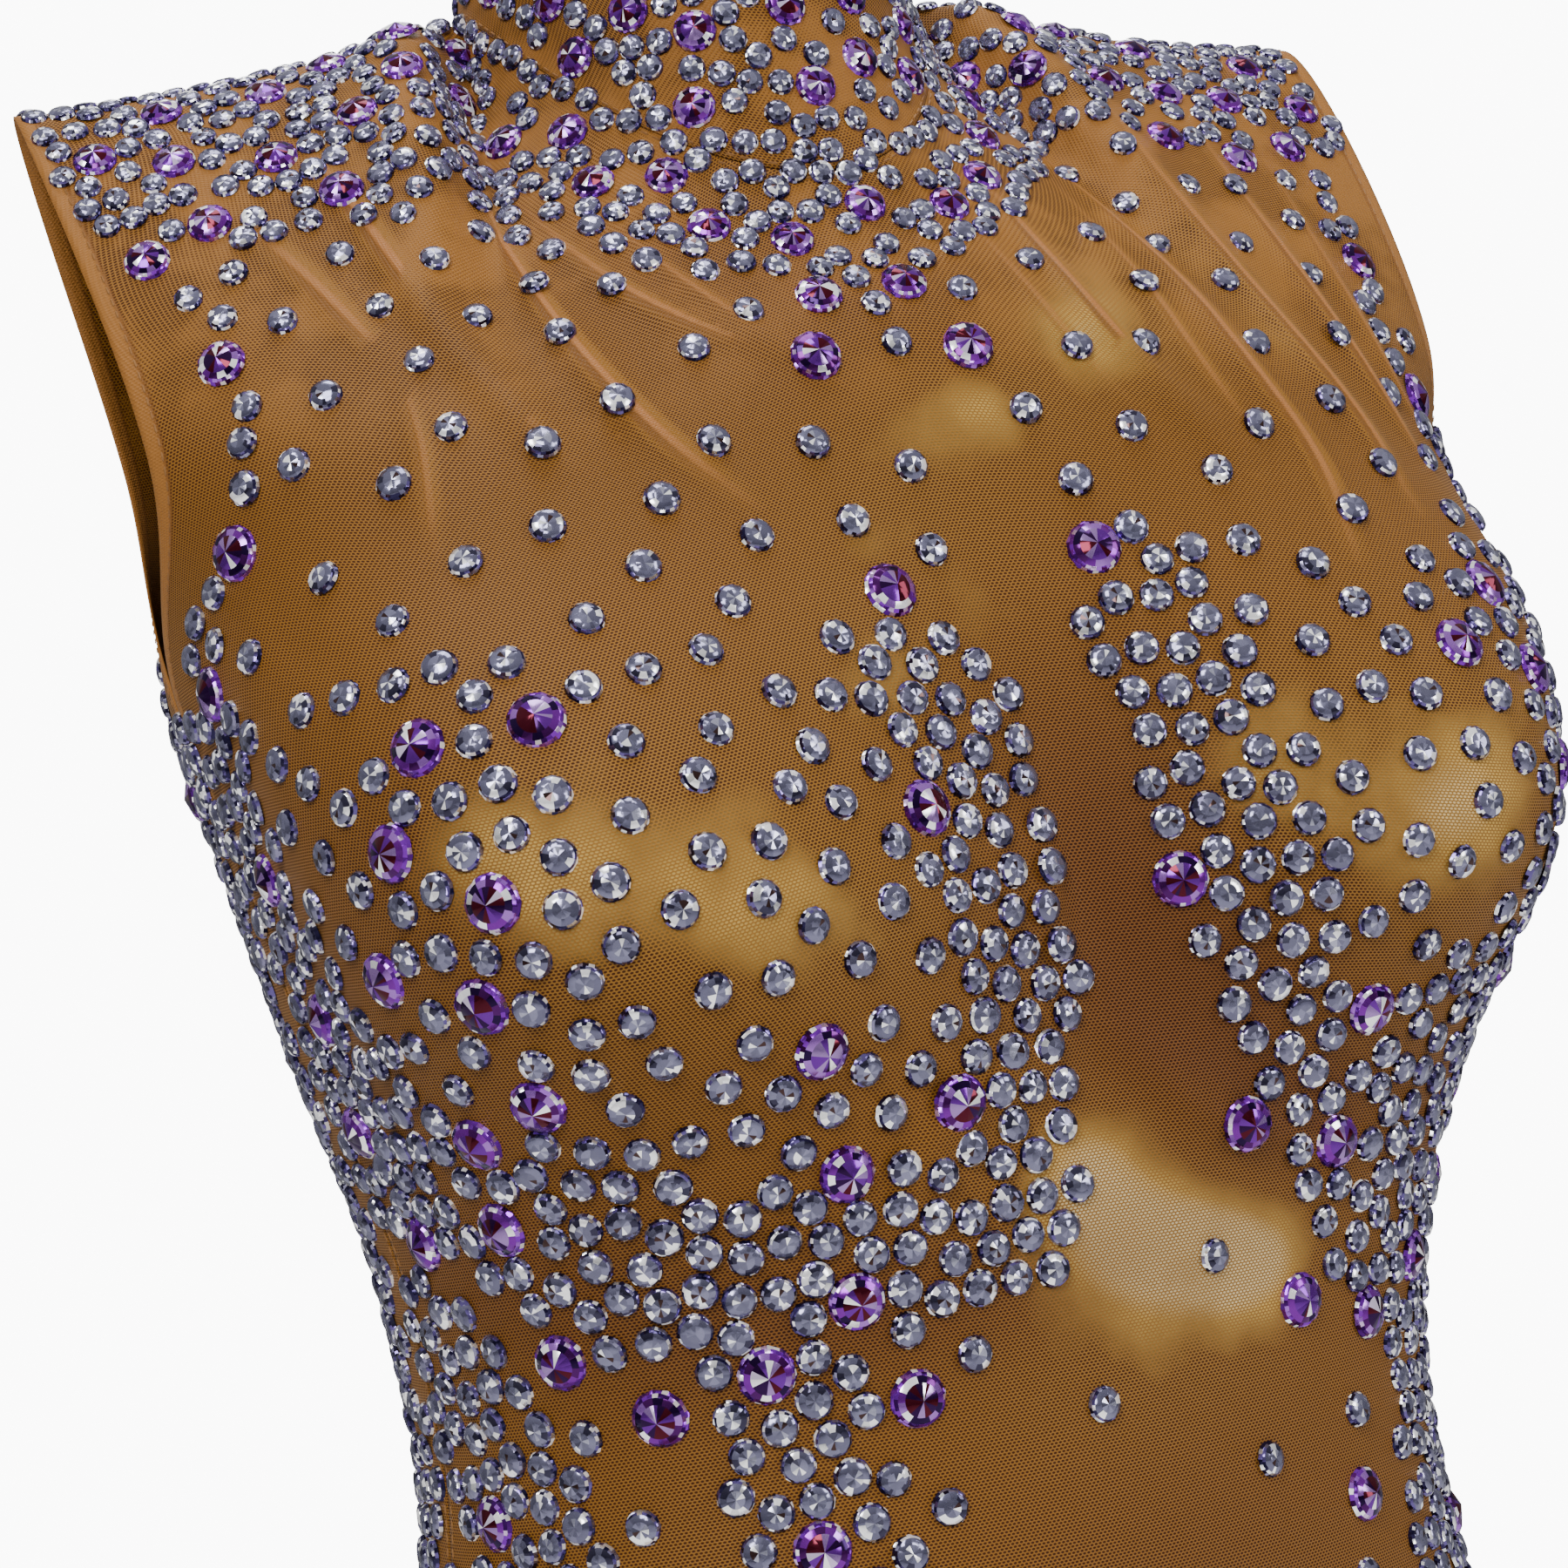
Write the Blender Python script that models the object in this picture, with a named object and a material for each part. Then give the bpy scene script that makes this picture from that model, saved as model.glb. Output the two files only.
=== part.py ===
"""A sleeveless, high-necked stage jumpsuit of stretch net, filled out as if worn.

Metres, +Z up. The front faces -Y and the wearer's left is +X. The origin is the middle of the
shoulder line, where the wearer holds the garment up. Each cloth piece is a wall worked out from
a few level sections. Two numbers name a place on a piece: one across it and one up it.
"""

import math
import random
from collections import namedtuple

import bpy
import numpy as np
from mathutils.geometry import delaunay_2d_cdt

WALL = 0.0015  # cloth thickness as built
HALF_SEAM = 0.00015  # each piece stops this far short of its seam
ZIP_HALF = 0.003  # half width of the closed zip at the centre back
ZIP_RISE = 0.0012  # how far its teeth stand above the cloth

# Level sections of the body, from the hip seam up to the underarm.
Section = namedtuple("Section", "z half_width side_y front_y back_y square")
SECTIONS = (
    Section(-0.470, 0.158, 0.010, -0.098, 0.120, 0.00),  # hip seam
    Section(-0.420, 0.138, 0.008, -0.089, 0.104, 0.02),
    Section(-0.360, 0.125, 0.004, -0.086, 0.084, 0.03),  # waist
    Section(-0.300, 0.131, 0.000, -0.088, 0.086, 0.04),  # under the bust
    Section(-0.240, 0.148, -0.002, -0.080, 0.094, 0.04),  # bust
    Section(-0.165, 0.162, 0.000, -0.082, 0.100, 0.04),  # underarm
)
# Where each side's armhole cuts in furthest, with the middle of the same row.
Notch = namedtuple("Notch", "side_x side_y side_z centre_y centre_z wrap")
NOTCHES = {
    "front": Notch(0.163, -0.034, -0.107, -0.081, -0.108, math.radians(63)),
    "back": Notch(0.156, 0.042, -0.095, 0.092, -0.085, math.radians(55)),
}
NOTCH_UP = -0.095  # the notch row's place up the bodice
TOP_UP = -0.020  # neckline and shoulder seam
COLLAR_UP = 0.045  # top of the collar

SHOULDER = (0.168, 0.004, -0.018)
NECK_SIDE = (0.055, 0.000, 0.000)
NECK_MIDDLE = {"front": (-0.063, -0.062), "back": (0.050, -0.008)}
COLLAR_HALF = 0.050
COLLAR_MIDDLE = {"front": (-0.056, 0.026), "back": (0.038, 0.058)}
NECK_SHARE = 0.45  # the part of the top edge that is neckline, the rest being shoulder
NECK_DIP = 1.3  # over 1, the front neckline stays low for longer on its way to the side
SHOULDER_FALL = 1.8  # over 1, the shoulder seam drops soonest beside the neck
NECK_BLEND = 0.12  # shares of a half girth over which slopes pass from one rule to the next
SIDE_BLEND = 0.40
NECK_SMOOTH = 0.18

# The bust is moulded into the stretch net, which bridges the hollow between.
BUST_ACROSS = 0.37
BUST_UP = -0.228
BUST_HEIGHT = 0.044
BUST_SPREAD = 0.33
BUST_ABOVE = 0.078
BUST_BELOW = 0.050
BUST_FADE = 0.30  # it fades out over this share of the way to the side seam
BUST_TURN = 0.9  # how fast its direction turns from the front to the side

# The stance: the hips are turned a little, and each level is shifted sideways.
TURN = math.radians(10)
TURN_FROM, TURN_TO = -0.10, -0.42
Lean = namedtuple("Lean", "z x")
LEANS = (
    Lean(-1.33, -0.008),
    Lean(-0.47, -0.008),
    Lean(-0.36, -0.001),
    Lean(-0.24, 0.007),
    Lean(-0.165, 0.006),
    Lean(-0.10, 0.001),
    Lean(0.00, -0.009),
    Lean(0.10, -0.009),
)

# Sections of the left leg. Parting is the leg's middle over its half width: 0 where both legs
# share one body, 1 at the crotch, over 1 where the leg is a tube of its own.
LegSection = namedtuple("LegSection", "z parting outer_x middle_y front_depth back_depth")
LEG_SECTIONS = (
    LegSection(-0.470, 0.00, 0.158, 0.010, 0.108, 0.110),
    LegSection(-0.520, 0.00, 0.169, 0.012, 0.108, 0.120),
    LegSection(-0.570, 0.35, 0.175, 0.012, 0.105, 0.125),
    LegSection(-0.615, 0.65, 0.176, 0.012, 0.101, 0.121),
    LegSection(-0.645, 0.86, 0.175, 0.012, 0.097, 0.112),
    LegSection(-0.662, 1.00, 0.174, 0.012, 0.094, 0.104),
    LegSection(-0.700, 1.06, 0.170, 0.011, 0.090, 0.097),
    LegSection(-0.780, 1.14, 0.161, 0.009, 0.083, 0.086),
    LegSection(-0.880, 1.30, 0.149, 0.006, 0.071, 0.072),
    LegSection(-0.970, 1.52, 0.143, 0.002, 0.061, 0.056),  # knee
    LegSection(-1.060, 1.60, 0.146, 0.008, 0.055, 0.062),  # calf
    LegSection(-1.150, 1.76, 0.145, 0.012, 0.049, 0.058),
    LegSection(-1.240, 2.30, 0.139, 0.014, 0.042, 0.045),
    LegSection(-1.330, 2.70, 0.139, 0.013, 0.039, 0.039),  # ankle hem
)
CROTCH_Z = -0.662

# Columns and rows of each piece's net of points.
NECK_STEPS, SHOULDER_STEPS = 6, 8
BODY_ROWS, ARMHOLE_ROWS, COLLAR_ROWS = 14, 8, 4
LEG_COLUMNS, LEG_ROWS = 16, 18

# Metres for one unit across and one unit up, for laying a piece flat.
FlatScale = namedtuple("FlatScale", "across up")
BODY_SCALE = FlatScale(0.22, 1.0)
COLLAR_SCALE = FlatScale(0.09, 0.08)
LEG_SCALE = FlatScale(0.40, 1.0)
SLOPE_STEP = 0.002  # the step across and up by which slopes are measured

# Drag lines that the stretched net forms, on the wearer's left. Places are across and up.
Fold = namedtuple("Fold", "across0 up0 across1 up1 height half_width")
FOLDS = (
    Fold(0.36, -0.045, 0.62, -0.125, 0.0022, 0.0055),
    Fold(0.47, -0.040, 0.72, -0.120, 0.0026, 0.0055),
    Fold(0.58, -0.038, 0.82, -0.112, 0.0022, 0.0050),
    Fold(0.70, -0.036, 0.90, -0.098, 0.0020, 0.0050),
    Fold(-0.34, -0.045, -0.52, -0.118, 0.0022, 0.0060),
    Fold(-0.48, -0.042, -0.70, -0.110, 0.0020, 0.0055),
    Fold(0.01, -0.215, 0.02, -0.262, 0.0026, 0.0060),
    Fold(0.04, -0.270, 0.24, -0.300, 0.0024, 0.0060),
    Fold(-0.04, -0.270, -0.22, -0.302, 0.0022, 0.0060),
)
FOLD_STATIONS = 6
FOLD_ROOM = 1.6  # the net's points keep this many half widths clear of a fold
FOLD_START, FOLD_END = 0.12, 0.88  # the shares of a half wave that a fold's height follows

# The large pointed stones lie along curved bands, each band from a start by a bend to an end.
# One side is given, and the other mirrors it with its own scatter.
Band = namedtuple("Band", "piece across0 up0 across1 up1 across2 up2 half_width apart")
BANDS = (
    Band("collar", 0.00, 0.50, 0.70, 0.50, 1.80, 0.50, 0.0300, 0.0195),
    Band("front", 0.04, -0.042, 0.26, -0.038, 0.46, -0.032, 0.0160, 0.0205),
    Band("front", 0.46, -0.034, 0.70, -0.045, 0.92, -0.048, 0.0190, 0.0205),
    Band("front", 0.03, -0.060, 0.04, -0.080, 0.09, -0.098, 0.0110, 0.0200),
    Band("front", 0.86, -0.075, 0.74, -0.120, 0.82, -0.160, 0.0070, 0.034),
    Band("front", 0.40, -0.190, 0.60, -0.230, 0.70, -0.310, 0.0190, 0.022),
    Band("front", 0.84, -0.175, 0.90, -0.220, 0.88, -0.310, 0.0160, 0.028),
    Band("front", 0.09, -0.160, 0.08, -0.225, 0.16, -0.300, 0.0060, 0.040),
    Band("front", 0.24, -0.262, 0.28, -0.290, 0.30, -0.310, 0.0120, 0.026),
    Band("front", 0.68, -0.318, 0.40, -0.345, 0.18, -0.330, 0.0120, 0.024),
    Band("front", 0.84, -0.325, 0.64, -0.390, 0.72, -0.468, 0.0220, 0.030),
    Band("front", 0.33, -0.355, 0.32, -0.400, 0.24, -0.468, 0.0120, 0.034),
    Band("back", 0.16, -0.032, 0.50, -0.040, 0.92, -0.044, 0.0170, 0.0230),
    Band("back", 0.86, -0.175, 0.60, -0.235, 0.74, -0.320, 0.0220, 0.028),
    Band("back", 0.70, -0.325, 0.45, -0.345, 0.20, -0.325, 0.0120, 0.030),
    Band("back", 0.84, -0.335, 0.62, -0.395, 0.72, -0.468, 0.0200, 0.034),
    Band("leg_left", 0.52, -0.485, 0.50, -0.600, 0.54, -0.720, 0.0280, 0.038),
    Band("leg_left", 0.28, -0.480, 0.36, -0.560, 0.44, -0.660, 0.0120, 0.044),
)
LARGE_RADIUS = 0.0065
LARGE_RISE = 0.0034
NECK_SIZE = 0.80  # stones by the neck are this share of the body's
SMALLER_FROM, SMALLER_TO = -0.13, -0.04  # heights between which the stones get smaller
STONE_SIDES = 8
STONE_ROOM = 1.35  # the net's points keep this many radii clear of a stone's middle
BAND_TRIES = 400
SCATTER_SEED = 11
EDGE_CLEAR = 0.0105  # a large stone's middle keeps this far inside its piece

# The zip's teeth, slider and pull tab, the last two on the back of the collar.
TEETH_HALF = 0.0012
TEETH_SLOPE = 0.0006
NEAR_ZIP_BACK, NEAR_ZIP_COLLAR = 0.2, 1.8  # past these places across, the zip is close
SLIDER_UP = 0.80  # place up the collar
SLIDER_WIDE, SLIDER_DEEP, SLIDER_HIGH = 0.0085, 0.0024, 0.0110
BRIDGE_WIDE = 0.0016
BRIDGE_HALF_HIGH = 0.0034
BRIDGE_OUT = 0.0040
BRIDGE_BAR = 0.0010
BRIDGE_SUNK = 0.0004  # the bridge starts this far inside the slider's body
PIVOT_DOWN = 0.0014  # the tab's bar hangs this far below the bridge's middle
PIVOT_OUT = 0.0015
TAB_LONG = 0.0270
TAB_HALF_WIDE = 0.0032
TAB_THICK = 0.0012
WINDOW_HALF_WIDE = 0.0015
WINDOW_END = 0.0048

# Each object's look: colour, roughness and metallic value.
Look = namedtuple("Look", "colour roughness metallic")
LOOKS = {
    "front": Look((0.30, 0.140, 0.050), 0.60, 0.0),
    "back_left": Look((0.30, 0.135, 0.045), 0.60, 0.0),
    "back_right": Look((0.30, 0.135, 0.045), 0.60, 0.0),
    "collar": Look((0.26, 0.185, 0.210), 0.45, 0.0),
    "leg_left": Look((0.31, 0.135, 0.042), 0.62, 0.0),
    "leg_right": Look((0.31, 0.135, 0.042), 0.62, 0.0),
    "zip_chain": Look((0.24, 0.115, 0.045), 0.55, 0.0),
    "zip_slider": Look((0.62, 0.60, 0.58), 0.30, 1.0),
    "zip_pull_tab": Look((0.62, 0.60, 0.58), 0.28, 1.0),
}
SHARP_ANGLE = math.radians(30)


def smooth(t):
    """0 to 1 with level ends."""
    t = np.clip(t, 0, 1)
    return t * t * (3 - 2 * t)


def centred_slopes(knots, rows):
    """The slope at each row of a curve that passes through all of them."""
    slopes = []
    for i in range(len(knots)):
        low, high = max(i - 1, 0), min(i + 1, len(knots) - 1)
        slopes.append((rows[high] - rows[low]) / (knots[high] - knots[low]))
    return slopes


def curve_at(knots, rows, slopes, v):
    """Cubic pieces through the rows with the slopes given. Each row may hold one entry per v."""
    knots = np.asarray(knots)
    low = np.clip(np.searchsorted(knots, v, side="right") - 1, 0, len(knots) - 2)
    step = knots[low + 1] - knots[low]
    t = (v - knots[low]) / step
    pick = np.arange(len(v))
    rows, slopes = np.array(rows), np.array(slopes)
    if rows.ndim > 1:
        near, far = rows[low, pick], rows[low + 1, pick]
        leave, reach = slopes[low, pick], slopes[low + 1, pick]
        t, step = t[:, None], step[:, None]
    else:
        near, far, leave, reach = rows[low], rows[low + 1], slopes[low], slopes[low + 1]
    return (
        near * (2 * t**3 - 3 * t**2 + 1)
        + leave * step * (t**3 - 2 * t**2 + t)
        + far * (3 * t**2 - 2 * t**3)
        + reach * step * (t**3 - t**2)
    )


def level_ring(s, side, centre, wrap, square):
    """Part of a level ring, from the middle (s = 0) to the side (s = 1)."""
    turn = s * wrap
    x = (np.sin(turn) + square * np.sin(3 * turn)) / (math.sin(wrap) + square * math.sin(3 * wrap))
    deep = np.cos(turn) - square * np.cos(3 * turn)
    deep_side = math.cos(wrap) - square * math.cos(3 * wrap)
    share = (deep - deep_side) / (1 - square - deep_side)
    y = side[1] + (centre[0] - side[1]) * share
    z = side[2] + (centre[1] - side[2]) * np.cos(s * math.pi / 2) ** 2
    return np.stack([side[0] * x, y, z], -1)


def top_edge(s, half):
    """The neckline up to NECK_SHARE, and then the shoulder seam."""
    turn = np.clip(s / NECK_SHARE, 0, 1) * math.pi / 2
    middle_y, middle_z = NECK_MIDDLE[half]
    x0, y0, z0 = NECK_SIDE
    fall = np.cos(turn) ** (NECK_DIP if half == "front" else 1.0)
    neck = np.stack(
        [x0 * np.sin(turn), y0 + (middle_y - y0) * np.cos(turn), z0 + (middle_z - z0) * fall], -1
    )
    t = np.clip((s - NECK_SHARE) / (1 - NECK_SHARE), 0, 1)
    x1, y1, z1 = SHOULDER
    drop = 1 - (1 - t) ** SHOULDER_FALL
    shoulder = np.stack([x0 + (x1 - x0) * t, y0 + (y1 - y0) * t, z0 + (z1 - z0) * drop], -1)
    return np.where((s <= NECK_SHARE)[:, None], neck, shoulder)


def collar_edge(s, half):
    """The collar's top edge over the neckline."""
    turn = np.clip(s / NECK_SHARE, 0, 1) * math.pi / 2
    front, back = COLLAR_MIDDLE["front"], COLLAR_MIDDLE["back"]
    y0, z0 = (front[0] + back[0]) / 2, (front[1] + back[1]) / 2
    y1, z1 = COLLAR_MIDDLE[half]
    x = COLLAR_HALF * np.sin(turn)
    return np.stack([x, y0 + (y1 - y0) * np.cos(turn), z0 + (z1 - z0) * np.cos(turn)], -1)


def notch_ring(s, half):
    n = NOTCHES[half]
    return level_ring(s, (n.side_x, n.side_y, n.side_z), (n.centre_y, n.centre_z), n.wrap, 0.0)


def bodice(half, across, up):
    """Points on the front or the back, from one side seam (-1) to the other (1)."""
    s = np.abs(across)
    knots, rows = [], []
    for level in SECTIONS:
        middle_y = level.front_y if half == "front" else level.back_y
        side = (level.half_width, level.side_y, level.z)
        knots.append(level.z)
        rows.append(level_ring(s, side, (middle_y, level.z), math.pi / 2, level.square))
    other = "back" if half == "front" else "front"
    past_neck = smooth((s - NECK_SHARE) / NECK_BLEND)[:, None]
    beyond = collar_edge(s, half) * (1 - past_neck) + notch_ring(s, other) * past_neck
    knots += [NOTCH_UP, TOP_UP, COLLAR_UP]
    rows += [notch_ring(s, half), top_edge(s, half), beyond]
    slopes = centred_slopes(knots, rows)
    # By the side seam and by the side of the neck, front and back take the same slope.
    arm, top = len(SECTIONS) - 1, len(rows) - 2
    by_side = smooth((s - 1 + SIDE_BLEND) / SIDE_BLEND)[:, None]
    below = (rows[arm] - rows[arm - 1]) / (knots[arm] - knots[arm - 1])
    slopes[arm] = slopes[arm] * (1 - by_side) + below * by_side
    by_neck = smooth(1 - np.abs(s - NECK_SHARE) / NECK_SMOOTH)[:, None]
    above = (rows[top + 1] - rows[top]) / (knots[top + 1] - knots[top])
    slopes[top] = slopes[top] * (1 - by_neck) + above * by_neck
    points = curve_at(knots, rows, slopes, up)
    if half == "front":
        rise = np.where(up > BUST_UP, BUST_ABOVE, BUST_BELOW)
        swell = np.exp(-(((s - BUST_ACROSS) / BUST_SPREAD) ** 2) - ((up - BUST_UP) / rise) ** 2)
        swell *= smooth((1 - s) / BUST_FADE) * smooth((TOP_UP - up) / BUST_ABOVE)
        points[:, 0] += BUST_HEIGHT * swell * np.sin(BUST_TURN * s)
        points[:, 1] -= BUST_HEIGHT * swell * np.cos(BUST_TURN * s)
    points[:, 0] *= np.where(across < 0, -1, 1)
    return points


def collar(across, up):
    """The stand collar: across runs -2 to 2 from the centre back round the front, up 0 to 1."""
    side = np.abs(across)
    sign = np.where(across < 0, -1, 1)
    s = sign * NECK_SHARE * np.where(side <= 1, side, 2 - side)
    v = TOP_UP + (COLLAR_UP - TOP_UP) * up
    return np.where((side <= 1)[:, None], bodice("front", s, v), bodice("back", s, v))


def leg(across, z):
    """The left leg: across runs 0 to 1 from the centre front or inseam round the side."""
    knots = [-level.z for level in LEG_SECTIONS]
    columns = {}
    for name in LegSection._fields[1:]:
        values = [getattr(level, name) for level in LEG_SECTIONS]
        slopes = centred_slopes(knots, values)
        columns[name] = curve_at(knots, values, slopes, -z)
    parting = columns["parting"]
    half = columns["outer_x"] / (1 + parting)
    turn = (2 * across - 1) * np.arccos(-np.clip(parting, 0, 1))
    deep = np.where(turn < 0, columns["front_depth"], columns["back_depth"])
    x = half * (parting + np.cos(turn))
    return np.stack([x, columns["middle_y"] + deep * np.sin(turn), z], -1)


def place_on(piece, across, up):
    """Points of any piece, before the stance."""
    across = np.atleast_1d(np.asarray(across, float))
    up = np.atleast_1d(np.asarray(up, float))
    if piece == "front":
        return bodice("front", across, up)
    if piece.startswith("back"):
        return bodice("back", across, up)
    if piece == "collar":
        return collar(across, up)
    points = leg(across, up)
    if piece == "leg_right":
        points[:, 0] *= -1
    return points


# The range of each piece across and up, and which way round its outer face is.
Piece = namedtuple("Piece", "low high bottom top outward")
PIECES = {
    "front": Piece(-1, 1, SECTIONS[0].z, TOP_UP, 1),
    "back_left": Piece(0, 1, SECTIONS[0].z, TOP_UP, -1),
    "back_right": Piece(-1, 0, SECTIONS[0].z, TOP_UP, -1),
    "collar": Piece(-2, 2, 0, 1, 1),
    "leg_left": Piece(0, 1, LEG_SECTIONS[-1].z, LEG_SECTIONS[0].z, 1),
    "leg_right": Piece(0, 1, LEG_SECTIONS[-1].z, LEG_SECTIONS[0].z, -1),
}


def slopes_on(piece, across, up):
    """How a piece's points move for one unit across and for one unit up."""
    reach = PIECES[piece]
    left = np.maximum(across - SLOPE_STEP, reach.low)
    right = np.minimum(across + SLOPE_STEP, reach.high)
    low = np.maximum(up - SLOPE_STEP, reach.bottom)
    high = np.minimum(up + SLOPE_STEP, reach.top)
    along = place_on(piece, right, up) - place_on(piece, left, up)
    rise = place_on(piece, across, high) - place_on(piece, across, low)
    return along / (right - left)[:, None], rise / (high - low)[:, None]


def outward_on(piece, across, up):
    along, rise = slopes_on(piece, across, up)
    normal = np.cross(along, rise) * PIECES[piece].outward
    return normal / np.linalg.norm(normal, axis=1)[:, None]


def stand(points):
    """The stance: turn the hips and shift each level sideways."""
    points = np.array(points, float)
    turn = TURN * smooth((points[:, 2] - TURN_FROM) / (TURN_TO - TURN_FROM))
    knots = [level.z for level in LEANS]
    shifts = [level.x for level in LEANS]
    shift = curve_at(knots, shifts, centred_slopes(knots, shifts), points[:, 2])
    x = points[:, 0] * np.cos(turn) - points[:, 1] * np.sin(turn) + shift
    y = points[:, 0] * np.sin(turn) + points[:, 1] * np.cos(turn)
    return np.stack([x, y, points[:, 2]], -1)


def columns_of(piece):
    neck = np.linspace(0, NECK_SHARE, NECK_STEPS + 1)
    shoulder = np.linspace(NECK_SHARE, 1, SHOULDER_STEPS + 1)[1:]
    half = np.concatenate([neck, shoulder])
    if piece == "back_left":
        return half
    if piece == "back_right":
        return -half[::-1]
    if piece == "front":
        return np.concatenate([-half[:0:-1], half])
    if piece == "collar":
        return np.linspace(-2, 2, 4 * NECK_STEPS + 1)
    return np.linspace(0, 1, LEG_COLUMNS + 1)


def rows_of(piece):
    if piece == "collar":
        return np.linspace(0, 1, COLLAR_ROWS + 1)
    if piece.startswith("leg"):
        seat = [level.z for level in LEG_SECTIONS if level.z >= CROTCH_Z]
        tube = np.linspace(CROTCH_Z, LEG_SECTIONS[-1].z, LEG_ROWS + 1)[1:]
        return np.array(seat + list(tube))[::-1]
    body = np.linspace(SECTIONS[0].z, SECTIONS[-1].z, BODY_ROWS + 1)
    armhole = np.linspace(SECTIONS[-1].z, TOP_UP, ARMHOLE_ROWS + 1)[1:]
    return np.concatenate([body, armhole])


def flat_scale(piece):
    if piece == "collar":
        return COLLAR_SCALE
    return LEG_SCALE if piece.startswith("leg") else BODY_SCALE


def stone_size(piece, up):
    """Share of the full size: the stones get smaller towards the neck."""
    if piece == "collar":
        return NECK_SIZE
    if piece.startswith("leg"):
        return 1.0
    return 1.0 - (1.0 - NECK_SIZE) * float(smooth((up - SMALLER_FROM) / (SMALLER_TO - SMALLER_FROM)))


def stones_in_band(band, side, rng, taken):
    """Scattered places inside one band that keep clear of each other and of the edges."""
    piece = band.piece
    if piece == "back":
        piece = "back_left" if side > 0 else "back_right"
    if piece == "leg_left" and side < 0:
        piece, side = "leg_right", 1
    reach = PIECES[piece]
    across_scale, up_scale = flat_scale(piece)
    found = []
    for _ in range(BAND_TRIES):
        t = rng.random()
        off = rng.uniform(-1, 1) * band.half_width
        turn = rng.uniform(0, 2 * math.pi)
        weights = ((1 - t) ** 2, 2 * t * (1 - t), t * t)
        across = sum(w * a for w, a in zip(weights, (band.across0, band.across1, band.across2)))
        up = sum(w * u for w, u in zip(weights, (band.up0, band.up1, band.up2)))
        across = side * (across + off * math.cos(turn) / across_scale)
        up += off * math.sin(turn) / up_scale
        if not (reach.low < across < reach.high and reach.bottom < up < reach.top):
            continue
        spot = place_on(piece, across, up)[0]
        size = stone_size(piece, up)
        if any(np.linalg.norm(spot - other) <= band.apart * size for other in taken):
            continue
        clear = EDGE_CLEAR * size + (ZIP_HALF if near_zip(piece, across) else 0)
        if edge_distance(piece, across, up) >= clear:
            taken.append(spot)
            found.append((piece, across, up, LARGE_RADIUS * size))
    return found


def near_zip(piece, across):
    if piece == "collar":
        return abs(across) > NEAR_ZIP_COLLAR
    return piece.startswith("back") and abs(across) < NEAR_ZIP_BACK


def edge_distance(piece, across, up):
    """Distance from a place to the nearest edge of its piece."""
    reach = PIECES[piece]
    spot = place_on(piece, across, up)[0]
    sides = [(reach.low, up), (reach.high, up), (across, reach.bottom), (across, reach.top)]
    if piece.startswith("leg") and up < CROTCH_Z:
        sides = sides[2:]
    return min(np.linalg.norm(spot - place_on(piece, a, u)[0]) for a, u in sides)


def large_stones():
    """Every large stone, as piece, across, up and radius."""
    rng = random.Random(SCATTER_SEED)
    stones, taken = [], []
    for band in BANDS:
        for side in (1, -1):
            stones += stones_in_band(band, side, rng, taken)
    return stones


def stone_ring(piece, across, up, radius):
    """A stone's outline as places on its piece, round it at its true radius."""
    along, rise = slopes_on(piece, np.array([across]), np.array([up]))
    along, rise = along[0], rise[0]
    first = along / np.linalg.norm(along)
    normal = np.cross(along, rise)
    second = np.cross(normal / np.linalg.norm(normal), first)
    turn = np.arange(STONE_SIDES) * 2 * math.pi / STONE_SIDES
    reach = radius * (np.cos(turn)[:, None] * first + np.sin(turn)[:, None] * second)
    grip = np.array([[along @ along, along @ rise], [along @ rise, rise @ rise]])
    steps = np.linalg.solve(grip, np.stack([reach @ along, reach @ rise]))
    return across + steps[0], up + steps[1]


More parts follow.
